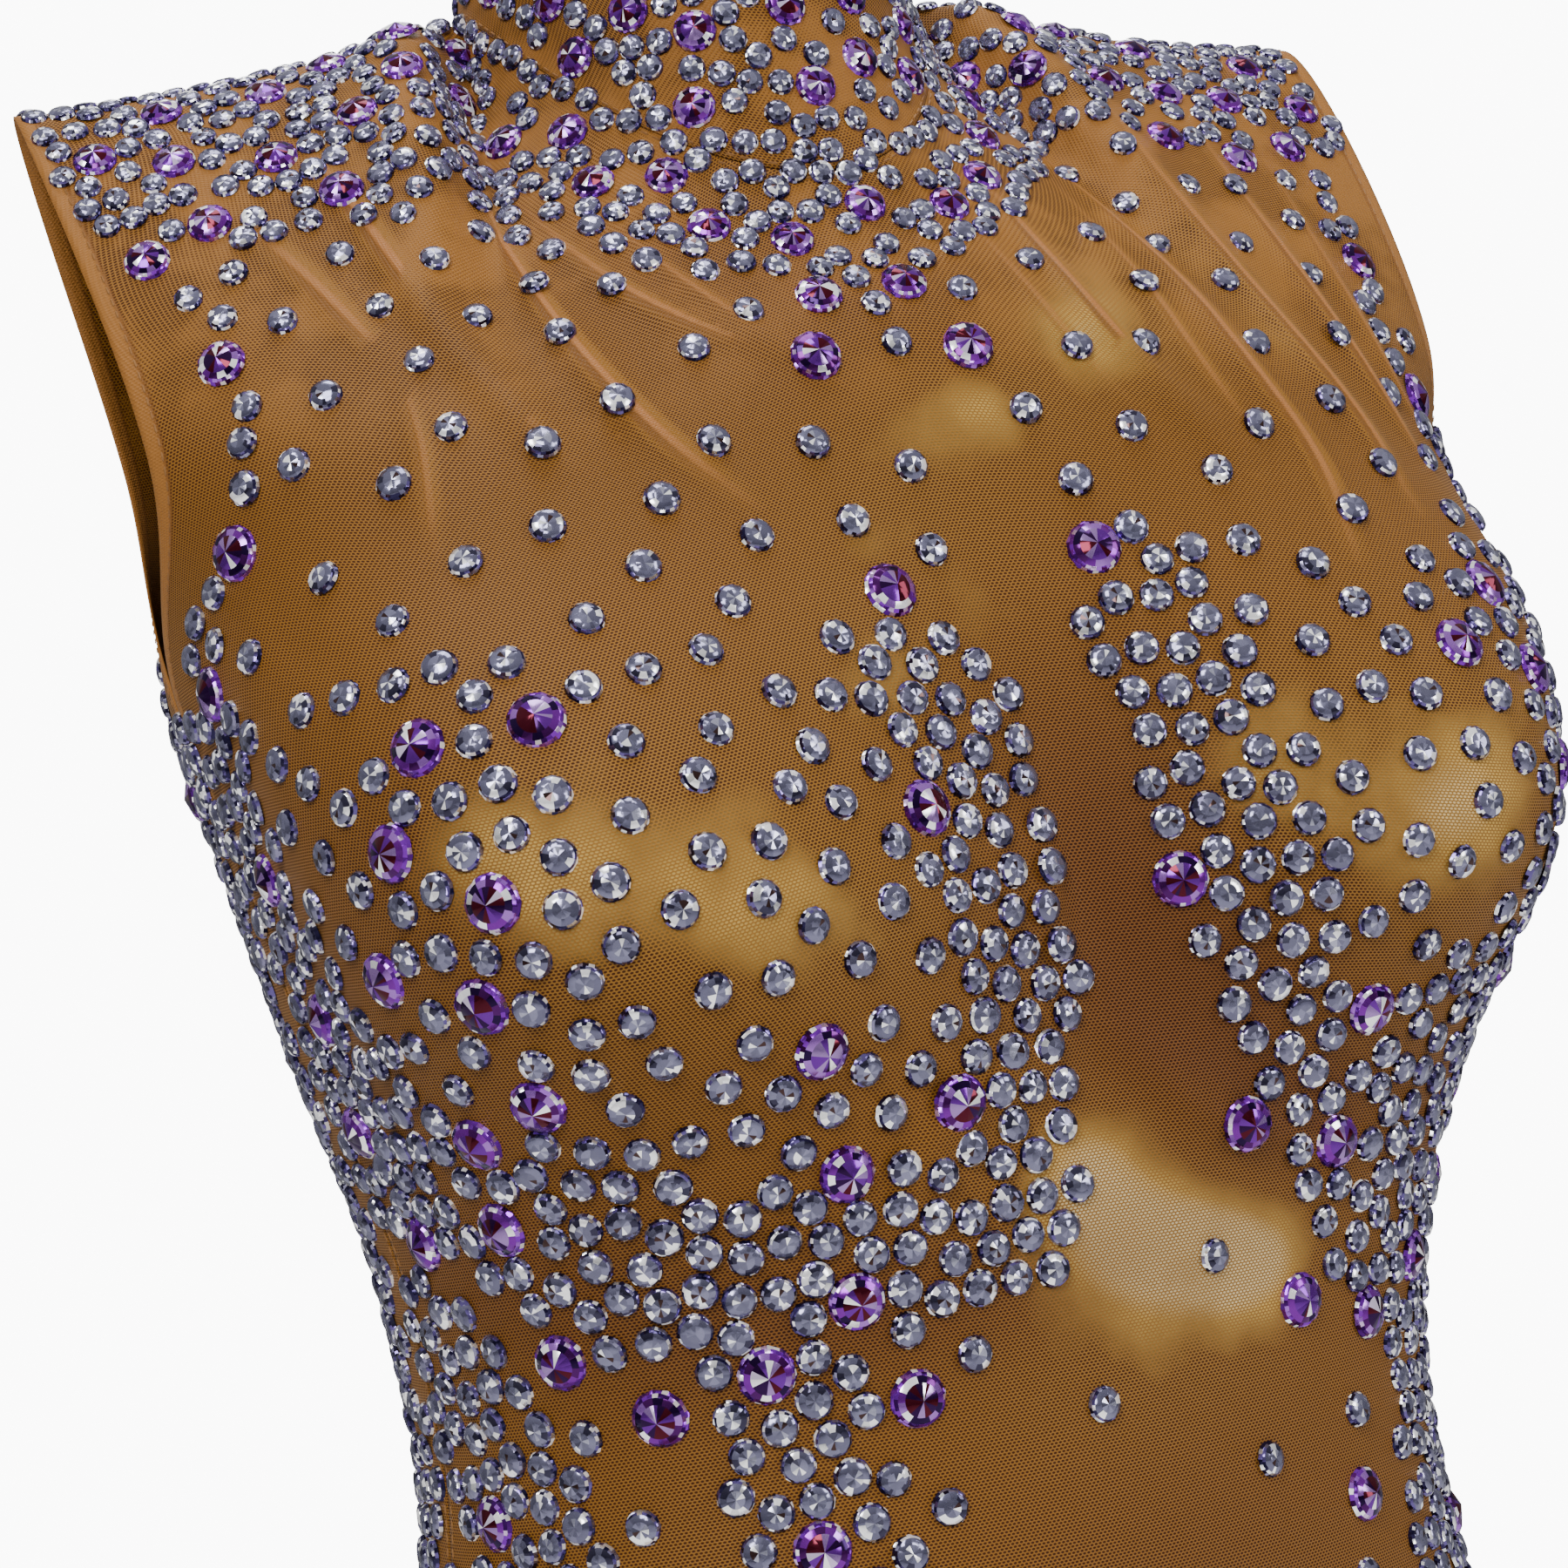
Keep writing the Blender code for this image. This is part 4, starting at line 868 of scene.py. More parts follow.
# Spacing outside every band, by the height where it starts. The belly is left nearly bare.
Open = namedtuple("Open", "top apart")
OPENS = {
    "front": (Open(TOP_UP, 3.0), Open(-0.17, 1.95), Open(-0.275, 3.0)),
    "back": (Open(TOP_UP, 2.6), Open(-0.29, 3.6)),
    "leg": (Open(HIP_Z, 3.7), Open(-0.64, 5.0)),
}
BELLY_ACROSS, BELLY_REACH, BELLY_TOP, BELLY_APART = 0.06, 0.21, -0.262, 7.0
COLLAR_APART, BARE, BAND_SAMPLES = 0.97, 9.0, 24
LAST_STONE_Z = -0.960
CLEFT_ACROSS, CLEFT_REACH, CLEFT_TOP = 0.035, 0.055, -0.135


def spacing(piece, across, up):
    """How far apart the small stones stand at each place, in stone widths."""
    family = piece.split("_")[0]
    if piece == "collar":
        return np.full(len(across), COLLAR_APART)
    gap = np.full(len(across), BARE)
    for row in OPENS[family]:
        gap = np.where(up <= row.top, row.apart, gap)
    if piece == "front":
        belly = (np.abs(across - BELLY_ACROSS) < BELLY_REACH) & (up < BELLY_TOP)
        gap = np.where(belly, BELLY_APART, gap)
        cleft = (np.abs(across - CLEFT_ACROSS) < CLEFT_REACH) & (up < CLEFT_TOP)
        gap = np.where(cleft, BARE, gap)
    scale = flat_scale(piece)
    side = np.abs(across) if family == "back" else across
    t = np.linspace(0, 1, BAND_SAMPLES)[:, None]
    for row in FIELDS[family]:
        field = Band(*row)
        x, y = bent(field, t)
        off = np.hypot((side - x) * scale.across, (up - y) * scale.up).min(0)
        gap = np.where(off < field.half_width, np.minimum(gap, field.apart), gap)
    return gap


trial = spacing("front", np.array([-0.7, -0.25]), np.array([-0.04, -0.22]))
print("spacing on the yoke and on the bust:", trial)

# %% Scatter the small stones
CANDIDATES = {"front": 34000, "back": 15000, "collar": 18000, "leg": 15000}
SMALL_SEED, SIZE_RANGE = 40, (0.96, 1.04)
CROWDED, TOUCHING, TOP_UP_BELOW = 0.74, 0.95, 1.30
SETTLE_STEPS, SETTLE_SHARE, SETTLE_REACH, INSIDE = 24, 0.8, 2.6, 1e-4
SPARSE_GAP, SPARSE_LATER = 0.014, 0.15
ROOM_BEFORE, ROOM_AFTER, LARGE_ROOM = 1.02, 0.98, 0.95
ARM_MARGIN, ARM_TOP_Z, SEAM_MARGIN, NEAR = 0.016, -0.058, 0.006, 0.012


def room_to_edges(piece, across, up):
    """Distance of each place to the raw edges of its piece. A stone may stand a little over a seam."""
    reach = PIECES[piece]
    along, rise = slopes_on(piece, across, up)
    wide, tall = np.linalg.norm(along, axis=1), np.linalg.norm(rise, axis=1)
    side = np.minimum(across - reach.low, reach.high - across) * wide
    bottom, top = (up - reach.bottom) * tall, (reach.top - up) * tall
    if piece.startswith("leg"):
        side = np.where(up < CROTCH_Z, 1.0, side + SEAM_MARGIN)
        top = top + SEAM_MARGIN
    elif piece == "collar":
        side = np.minimum(side, (2 - np.abs(across)) * wide - ZIP_HALF)
        bottom = bottom + SEAM_MARGIN
    else:
        arm = np.where((up > ARM_Z) & (up < ARM_TOP_Z), -ARM_MARGIN, 0.0)
        arm = np.where(up <= ARM_Z, SEAM_MARGIN, arm)
        outer = (1 - np.abs(across)) * wide + arm
        side = outer if piece == "front" else np.minimum(outer, np.abs(across) * wide - ZIP_HALF)
        bottom, top = bottom + SEAM_MARGIN, top + SEAM_MARGIN
    return np.minimum(side, np.minimum(bottom, top))


def settle(piece, across, up, gap, radius, fixed, fixed_radius):
    """Pushes crowded stones apart along the cloth, a little at a time."""
    reach = PIECES[piece]
    for _ in range(SETTLE_STEPS):
        spots = place_on(piece, across, up)
        along, rise = slopes_on(piece, across, up)
        apart = spots[:, None] - spots[None]
        far = np.linalg.norm(apart, axis=2) + np.eye(len(spots))
        want = (gap[:, None] + gap[None]) / 2
        need = np.clip(want - far, 0, None) * (1 - np.eye(len(spots)))
        push = (apart * (need / far / 2)[:, :, None]).sum(1)
        if len(fixed):
            apart = spots[:, None] - fixed[None]
            far = np.linalg.norm(apart, axis=2)
            need = np.clip(radius[:, None] + fixed_radius[None] - far, 0, None)
            push += (apart * (need / far)[:, :, None]).sum(1)
        across = across + SETTLE_SHARE * (push * along).sum(1) / (along * along).sum(1)
        up = up + SETTLE_SHARE * (push * rise).sum(1) / (rise * rise).sum(1)
        across = np.clip(across, reach.low + INSIDE, reach.high - INSIDE)
        up = np.clip(up, reach.bottom + INSIDE, reach.top - INSIDE)
    return across, up


def kept_apart(order, spots, room, fixed, fixed_room):
    """Goes through the places in order and keeps each one that is clear of all kept before it."""
    placed = np.zeros((len(fixed) + len(order), 3))
    rooms = np.zeros(len(placed))
    count = len(fixed)
    placed[:count], rooms[:count] = fixed, fixed_room
    kept = []
    for i in order:
        far = np.linalg.norm(placed[:count] - spots[i], axis=1)
        if (far < rooms[:count] + room[i]).any():
            continue
        placed[count], rooms[count] = spots[i], room[i]
        count += 1
        kept.append(i)
    return kept


def small_stones(piece, seed, others, others_radius):
    """Places and radii of one piece's small stones, clear of the stones already set."""
    rng = np.random.default_rng(seed)
    reach = PIECES[piece]
    count = CANDIDATES[piece.split("_")[0]]
    bottom = max(reach.bottom, LAST_STONE_Z)
    across = rng.uniform(reach.low, reach.high, count)
    up = rng.uniform(bottom, reach.top, count)
    radius = SMALL_RADIUS * size_share(piece, up) * rng.uniform(*SIZE_RANGE, count)
    gap = 2 * radius * spacing(piece, across, up)
    keep = room_to_edges(piece, across, up) > radius * ROOM_BEFORE
    across, up, radius, gap = across[keep], up[keep], radius[keep], gap[keep]
    spots = place_on(piece, across, up)
    close = ((others > spots.min(0) - NEAR) & (others < spots.max(0) + NEAR)).all(1)
    fixed, fixed_radius = others[close], others_radius[close]

    order = np.argsort(rng.random(len(across)) + SPARSE_LATER * (gap > SPARSE_GAP))
    chosen = np.array(kept_apart(order, spots, CROWDED * gap / 2, fixed, LARGE_ROOM * fixed_radius))
    spare = np.setdiff1d(order[gap[order] < TOP_UP_BELOW * 2 * radius[order]], chosen)
    a, u, r = across[chosen], up[chosen], radius[chosen]
    a, u = settle(piece, a, u, np.minimum(gap[chosen], SETTLE_REACH * r), r, fixed, fixed_radius)
    inside = np.flatnonzero(room_to_edges(piece, a, u) > r * ROOM_AFTER)
    moved = place_on(piece, a, u)
    stay = kept_apart(inside, moved, TOUCHING * r, fixed, TOUCHING * fixed_radius)
    a, u, r = a[stay], u[stay], r[stay]

    full, full_radius = np.vstack([fixed, moved[stay]]), np.concatenate([fixed_radius, r])
    extra = kept_apart(spare, spots, TOUCHING * radius, full, TOUCHING * full_radius)
    return np.append(a, across[extra]), np.append(u, up[extra]), np.append(r, radius[extra])


small = {}
set_spots = np.array([place_on(piece, a, u)[0] for piece, a, u, _ in large])
set_radius = np.array([radius for *_, radius in large])
for number, piece in enumerate(PIECES):
    small[piece] = small_stones(piece, SMALL_SEED + number, set_spots, set_radius)
    set_spots = np.vstack([set_spots, place_on(piece, *small[piece][:2])])
    set_radius = np.append(set_radius, small[piece][2])
    print(piece, "small stones:", len(small[piece][0]))
print("small stones in all:", sum(len(places[0]) for places in small.values()))

# %% [markdown]
# ## One tree that sets shapes on points
# Stones, stitches and zip teeth are all the same job: copy a small shape to many points, turn each
# copy to its own direction and give it a size. One Geometry Nodes tree does it for all of them. Its
# inputs set the overall size, a random spin and a small random tilt, which is what makes neighbouring
# stones flash differently. The tree ends by realizing the copies and setting their material.

# %% Small helpers for nodes
class Nodes:
    """Adds nodes to one tree with less writing."""

    def __init__(self, tree):
        self.tree = tree

    def fill(self, node, inputs):
        """Links or sets the inputs of a node, found by name or number."""
        for name, value in inputs.items():
            if isinstance(value, bpy.types.NodeSocket):
                self.tree.links.new(value, node.inputs[name])
            else:
                node.inputs[name].default_value = value
        return node

    def new(self, kind, inputs=None, **settings):
        node = self.tree.nodes.new(kind)
        for name, value in settings.items():
            setattr(node, name, value)
        return self.fill(node, inputs or {})

    def math(self, operation, *values, clamp=False):
        inputs = dict(enumerate(values))
        return self.new("ShaderNodeMath", inputs, operation=operation, use_clamp=clamp).outputs[0]

    times, plus = partialmethod(math, "MULTIPLY"), partialmethod(math, "ADD")
    minus, over = partialmethod(math, "SUBTRACT"), partialmethod(math, "DIVIDE")

    def vector(self, operation, first, second):
        return self.new("ShaderNodeVectorMath", {0: first, 1: second}, operation=operation).outputs[0]

    def mix(self, share, first, second):
        """A colour between two. The node's colour sockets are numbers 6 and 7, and 2 puts out."""
        node = self.new("ShaderNodeMix", {0: share, 6: first, 7: second}, data_type="RGBA")
        return node.outputs[2]

    def attribute(self, name, output="Fac"):
        return self.new("ShaderNodeAttribute", attribute_name=name).outputs[output]

    def split(self, vector):
        return self.new("ShaderNodeSeparateXYZ", {0: vector}).outputs

    def place(self):
        """Coordinates of the object itself, in metres."""
        return self.new("ShaderNodeTexCoord").outputs["Object"]

    def noise(self, scale, detail):
        inputs = {"Vector": self.place(), "Scale": scale, "Detail": detail}
        return self.new("ShaderNodeTexNoise", inputs).outputs["Fac"]

    def bump(self, height, distance, strength=1.0):
        inputs = {"Height": height, "Distance": distance, "Strength": strength}
        return self.new("ShaderNodeBump", inputs).outputs["Normal"]


def new_group(name, kind, inputs, outputs):
    """A node group with named sockets. Each socket is a name, a kind and, for an input, a value."""
    tree = bpy.data.node_groups.new(name, kind)
    for name, kind, *value in inputs:
        made = tree.interface.new_socket(name=name, in_out="INPUT", socket_type="NodeSocket" + kind)
        if value:
            made.default_value = value[0]
    for name, kind in outputs:
        tree.interface.new_socket(name=name, in_out="OUTPUT", socket_type="NodeSocket" + kind)
    n = Nodes(tree)
    return n, n.new("NodeGroupInput").outputs


def new_material(name):
    made = bpy.data.materials.new(name)
    made.use_nodes = True
    return made, Nodes(made.node_tree), made.node_tree.nodes["Principled BSDF"]


def rgb(red, green, blue):
    return (red, green, blue, 1.0)


print("nodes are added by name, and values are put in sockets")


# %% The setting tree
def setting_tree():
    """Copies a shape to each point, turned and sized by the point's own attributes."""
    inputs = (
        ("Geometry", "Geometry"), ("Shape", "Object"), ("Finish", "Material"),
        ("Size", "Float", 1.0), ("Spin", "Float", 0.0), ("Tilt", "Float", 0.0), ("Seed", "Int", 5),
    )
    n, given = new_group("set shapes on points", "GeometryNodeTree", inputs, [("Geometry", "Geometry")])
    shape = n.new("GeometryNodeObjectInfo", {"Object": given["Shape"]}, transform_space="ORIGINAL")

    def attribute(name, kind):
        node = n.new("GeometryNodeInputNamedAttribute", {"Name": name}, data_type=kind)
        return node.outputs["Attribute"]

    high = {"X": given["Tilt"], "Y": given["Tilt"], "Z": given["Spin"]}
    low = {axis: n.times(value, -1.0) for axis, value in high.items()}
    wander = n.new("FunctionNodeRandomValue", {
        "Min": n.new("ShaderNodeCombineXYZ", low).outputs[0],
        "Max": n.new("ShaderNodeCombineXYZ", high).outputs[0],
        "Seed": given["Seed"],
    }, data_type="FLOAT_VECTOR")
    turned = n.new("FunctionNodeRotateRotation", {
        "Rotation": attribute("turn", "FLOAT_VECTOR"),
        "Rotate By": wander.outputs["Value"],
    }, rotation_space="LOCAL")
    copies = n.new("GeometryNodeInstanceOnPoints", {
        "Points": given["Geometry"],
        "Instance": shape.outputs["Geometry"],
        "Rotation": turned.outputs[0],
        "Scale": n.times(attribute("size", "FLOAT"), given["Size"]),
    })
    real = n.new("GeometryNodeRealizeInstances", {0: copies.outputs[0]})
    inputs = {"Geometry": real.outputs[0], "Material": given["Finish"]}
    finish = n.new("GeometryNodeSetMaterial", inputs)
    n.new("NodeGroupOutput", {"Geometry": finish.outputs[0]})
    return n.tree


SETTING = setting_tree()
SOCKETS = {item.name: item.identifier for item in SETTING.interface.items_tree if item.in_out == "INPUT"}
print("inputs of the tree:", list(SOCKETS))


# %% Use the tree on a list of points
STONE_NUMBERS = 997


def turns_from(outward, upward):
    """Euler turns that point a shape's Z outwards and its Y along a direction on the cloth."""
    turns = []
    for z, y in zip(outward, upward):
        z = Vector(z).normalized()
        x = Vector(y).cross(z).normalized()
        turns.append(Matrix((x, z.cross(x), z)).transposed().to_euler())
    return np.array([tuple(turn) for turn in turns])


def set_on_points(name, shape, points, turns, sizes, finish, spin=0.0, tilt=0.0, seed=5, size=1.0):
    """Copies a shape to every point and returns one plain mesh object."""
    holder = add_mesh(name + "_points", points, [])
    mesh = holder.data
    turn = mesh.attributes.new("turn", "FLOAT_VECTOR", "POINT")
    turn.data.foreach_set("vector", np.asarray(turns, np.float32).ravel())
    add_values(mesh, "size", sizes)
    add_values(mesh, "stone", np.arange(len(points)) % STONE_NUMBERS)
    modifier = holder.modifiers.new("set", "NODES")
    modifier.node_group = SETTING
    settings = {"Shape": shape, "Finish": finish, "Size": size, "Spin": spin, "Tilt": tilt, "Seed": seed}
    for key, value in settings.items():
        modifier[SOCKETS[key]] = value
    bpy.context.view_layer.update()
    result = bpy.data.meshes.new_from_object(holder.evaluated_get(bpy.context.evaluated_depsgraph_get()))
    result.name = name
    holder.modifiers.clear()
    bpy.data.objects.remove(holder)
    return add_object(name, result)


def helper_shape(name, verts, faces):
    """A shape to be copied, which remembers its own coordinates. It is deleted after the copying."""
    made = add_mesh(name, verts, faces)
    made.data.attributes.new("cut", "FLOAT_VECTOR", "POINT").data.foreach_set("vector", np.ravel(verts))
    return made


print("a point's turn holds three angles, and its size one number")

# %% [markdown]
# ## The two cuts of stone
# A flat-backed stone is a low dome with a flat table and a mirror foil behind. Through the table one
# sees the foil's folds as bright and dark wedges. Modelling glass over foil would need many light
# bounces and hundreds of small faces. So each shape stays a simple dome that remembers its own
# coordinates in an attribute, and the material draws the facets from them, with the foil's
# reflections painted into their colour as dark and white facets. The large stones rise to a point.

# %% Shapes of the stones
StoneRing = namedtuple("StoneRing", "radius high")
FLAT_BACK = (StoneRing(1.0, 0.0), StoneRing(0.95, 0.18), StoneRing(0.80, 0.36), StoneRing(0.45, 0.47))
POINTED = (StoneRing(1.0, 0.0), StoneRing(0.94, 0.14), StoneRing(0.78, 0.27), StoneRing(0.42, 0.40))
POINT_HIGH = LARGE_RISE / LARGE_RADIUS
SIDES = 12


def ring_faces(sides, rings):
    """Four-sided faces that join each ring of points to the next."""
    faces = []
    for low in range(0, sides * (rings - 1), sides):
        for i in range(sides):
            after = (i + 1) % sides
            faces.append([low + i, low + after, low + sides + after, low + sides + i])
    return faces


def stone_shape(name, rings, point=None):
    """A dome from rings of points, closed by a flat table or a point."""
    verts, faces = [], ring_faces(SIDES, len(rings))
    for row in rings:
        for i in range(SIDES):
            turn = i * 2 * math.pi / SIDES
            verts.append((row.radius * math.cos(turn), row.radius * math.sin(turn), row.high))
    last = SIDES * (len(rings) - 1)
    if point is None:
        faces.append([last + i for i in range(SIDES)])
    else:
        verts.append((0.0, 0.0, point))
        for i in range(SIDES):
            faces.append([last + i, last + (i + 1) % SIDES, len(verts) - 1])
    return helper_shape(name, verts, faces)


flat_back = stone_shape("flat_back_shape", FLAT_BACK)
pointed = stone_shape("pointed_shape", POINTED, POINT_HIGH)
for shape in (flat_back, pointed):
    shape.data.shade_smooth()
    print(shape.name, "has", len(shape.data.polygons), "faces")


# %% [markdown]
# ## Materials
# The net is one node group that draws a honeycomb of holes from the UV map, in metres. It puts out a
# mask of the holes and a height, and each material mixes its own colours with them. The tones come
# from the attributes: painted gold highlights where the net lies tight, and painted dark brown shade
# in hollows. The holes themselves are painted dark, as shade of the inside seen through them.

# %% The honeycomb of holes
HOLE_PITCH, HOLE_SHARE, ROW_SHARE, HOLE_FLAT = 0.00104, 0.36, 1.30, 1.55
HOLE_SOFT, HOLE_SHARP, HOLE_DEPTH = 0.04, 12.0, 1.6


def honeycomb_group():
    """Distance to the nearest hole's middle, from two rows of flat oval holes set like bricks."""
    inputs = ("Grain", "Vector"), ("Pitch", "Float", HOLE_PITCH), ("Hole", "Float", HOLE_SHARE)
    outputs = ("Mask", "Float"), ("Height", "Float")
    n, given = new_group("honeycomb net", "ShaderNodeTree", inputs, outputs)
    grain = n.split(given["Grain"])
    u = n.over(grain["X"], given["Pitch"])
    v = n.over(grain["Y"], n.times(given["Pitch"], ROW_SHARE))

    def near(shift):
        du = n.minus(n.math("FRACT", n.plus(u, shift)), 0.5)
        dv = n.minus(n.math("FRACT", n.plus(v, shift)), 0.5)
        dv = n.times(dv, ROW_SHARE * HOLE_FLAT)
        return n.math("SQRT", n.plus(n.times(du, du), n.times(dv, dv)))

    far = n.math("MINIMUM", near(0.0), near(0.5))
    edge = n.minus(given["Hole"], far)
    mask = n.times(n.plus(edge, HOLE_SOFT), HOLE_SHARP, clamp=True)
    n.new("NodeGroupOutput", {"Mask": mask, "Height": n.times(far, HOLE_DEPTH, clamp=True)})
    return n.tree


HONEYCOMB = honeycomb_group()
print("one hole every", HOLE_PITCH * 1000, "mm")

# %% The net's material
THREAD, THREAD_PAINTED_SHADE = rgb(0.305, 0.127, 0.013), rgb(0.205, 0.072, 0.010)
THREAD_PAINTED_HIGHLIGHT = rgb(0.37, 0.180, 0.028)
# The hole colours are painted light: dark as painted shade of the inside seen through the holes, darker
# still under painted shade, gold and then pale as painted highlights.
HOLE_PAINTED_DARK, HOLE_PAINTED_SHADE = rgb(0.060, 0.016, 0.003), rgb(0.026, 0.005, 0.002)
HOLE_PAINTED_GOLD, HOLE_PAINTED_PALE = rgb(0.84, 0.53, 0.13), rgb(1.0, 0.84, 0.50)
GLOW_FROM, GLOW_RISE, GLOW_CLOUDY = 0.40, 2.0, 0.9
PAINTED_PALE_FROM, PAINTED_PALE_RISE = 0.76, 3.2
SLACK_FROM, SLACK_RISE, SLACK_DARK = 0.44, 6.0, 0.70
RIDGE_PINK, RIDGE_SHADE = rgb(0.46, 0.180, 0.055), rgb(0.16, 0.055, 0.010)
HEM_TAN = rgb(0.39, 0.160, 0.036)
HEM_WIDE, HEM_LINE, LINE_FLAT = 0.0045, 0.0005, 1.7
RIDGE_LINE, RIDGE_REACH, RIDGE_SHADE_AT = 0.0007, 0.0022, -0.0016
YOKE_Z, YOKE_FADE = -0.125, 0.060


def net_material():
    made, n, shader = new_material("stretch_net")
    names = "gold", "deep", "pinch", "crest", "edge"
    gold, deep, pinch, crest, edge = [n.attribute(name) for name in names]
    cloudy = n.noise(40.0, 3.0)
    yoke = n.over(n.minus(n.split(n.place())["Z"], YOKE_Z), YOKE_FADE, clamp=True)

    def line(value, middle, wide):
        """A soft line where a distance is close to its middle value."""
        off = n.math("ABSOLUTE", n.minus(value, middle))
        return n.minus(LINE_FLAT, n.over(off, wide), clamp=True)

    ridge = n.times(line(crest, 0.0, RIDGE_LINE), pinch)
    shade = n.times(line(crest, RIDGE_SHADE_AT, RIDGE_LINE), pinch)
    beside = n.times(line(crest, 0.0, RIDGE_REACH), pinch)
    hem = n.math("LESS_THAN", edge, HEM_WIDE)
    slack = n.times(n.minus(cloudy, SLACK_FROM), SLACK_RISE, clamp=True)
    slack = n.times(n.times(slack, yoke), n.minus(SLACK_DARK, deep), clamp=True)
    closed = n.math("MAXIMUM", n.math("MAXIMUM", beside, hem), slack)
    honeycomb = n.new("ShaderNodeGroup", node_tree=HONEYCOMB)
    n.fill(honeycomb, {
        "Grain": n.new("ShaderNodeUVMap", uv_map="grain").outputs["UV"],
        "Hole": n.times(HOLE_SHARE, n.minus(1.0, closed)),
    })
    mask, height = honeycomb.outputs["Mask"], honeycomb.outputs["Height"]

    # painted highlight and painted shade: the thread turns a lighter gold under the highlight patches and
    # a darker brown under the shade patches
    thread = n.mix(deep, n.mix(gold, THREAD, THREAD_PAINTED_HIGHLIGHT), THREAD_PAINTED_SHADE)
    # painted highlights in the holes: gold where the painted highlight share is high, pale where it is
    # highest; painted shade darkens them further
    uneven = n.times(n.minus(cloudy, 0.5), GLOW_CLOUDY)
    glow = n.times(n.plus(n.minus(gold, GLOW_FROM), uneven), GLOW_RISE, clamp=True)
    glow = n.times(glow, n.times(gold, 1.6, clamp=True))
    pale = n.times(n.minus(gold, PAINTED_PALE_FROM), PAINTED_PALE_RISE, clamp=True)
    hole = n.mix(deep, n.mix(glow, HOLE_PAINTED_DARK, n.mix(pale, HOLE_PAINTED_GOLD, HOLE_PAINTED_PALE)), HOLE_PAINTED_SHADE)
    colour = n.mix(mask, thread, hole)
    for share, over in (
        (n.times(slack, 0.35), RIDGE_PINK),
        (n.times(shade, 0.60), RIDGE_SHADE),
        (n.times(ridge, 0.85), RIDGE_PINK),
        (n.times(hem, 0.80), HEM_TAN),
        (n.times(line(edge, HEM_WIDE, HEM_LINE), 0.5), RIDGE_SHADE),
    ):
        colour = n.mix(share, colour, over)
    n.fill(shader, {
        "Base Color": colour,
        "Roughness": n.plus(0.46, n.times(mask, 0.30)),
        "Sheen Weight": 0.10,
        "Sheen Roughness": 0.40,
        "Sheen Tint": rgb(0.95, 0.62, 0.35),
        "Specular IOR Level": 0.22,
        "Normal": n.bump(n.plus(height, n.times(ridge, 2.0)), 0.0003, 0.55),
    })
    return made


NET = net_material()
for piece, shell in cloth.items():
    shell.data.materials.append(NET)
print("the net is on", len(cloth), "pieces")

# %% Materials of the stones
# A part of a stone has a row of tones: the glass's own colour with painted reflections, from dark
# facets to white glints. Each tone stands with the share where it starts.
GLINT_WHITE = (1.0, 1.0, 1.0)
StoneTones = namedtuple("StoneTones", "rim lens middle")
CLEAR_TONES_AND_REFLECTIONS = StoneTones(
    rim=(
        (0.00, (0.024, 0.017, 0.070)),
        (0.32, (0.150, 0.110, 0.330)),
        (0.56, (0.300, 0.280, 0.440)),
        (0.80, GLINT_WHITE),
    ),
    lens=(
        (0.00, (0.050, 0.045, 0.085)),
        (0.13, (0.175, 0.170, 0.265)),
        (0.50, (0.245, 0.240, 0.365)),
        (0.85, GLINT_WHITE),
    ),
    middle=(
        (0.00, (0.070, 0.036, 0.034)),
        (0.06, (0.190, 0.186, 0.280)),
        (0.45, (0.290, 0.285, 0.425)),
        (0.76, (0.500, 0.500, 0.640)),
        (0.88, GLINT_WHITE),
    ),
)
PURPLE_TONES_AND_REFLECTIONS = StoneTones(
    rim=(
        (0.00, (0.080, 0.003, 0.180)),
        (0.26, (0.230, 0.018, 0.520)),
        (0.58, (0.460, 0.150, 0.800)),
        (0.78, (0.880, 0.600, 1.000)),
        (0.88, GLINT_WHITE),
    ),
    lens=(
        (0.00, (0.018, 0.001, 0.050)),
        (0.22, (0.085, 0.005, 0.130)),
        (0.42, (0.210, 0.018, 0.380)),
        (0.66, (0.440, 0.180, 0.700)),
        (0.86, GLINT_WHITE),
    ),
    middle=(
        (0.00, (0.090, 0.004, 0.016)),
        (0.30, (0.030, 0.002, 0.060)),
        (0.46, (0.160, 0.022, 0.350)),
        (0.72, (0.420, 0.240, 0.600)),
        (0.92, GLINT_WHITE),
    ),
)
RIM_FROM, EDGE_FROM = 0.80, 0.91
LENS_TILT, RIM_TILT = 0.34, 1.1
# painted glints: facets whose chance passes the first value glow white with the second as strength,
# though nothing lights them
FLASH_FROM, FLASH_POWER = 0.88, 0.40


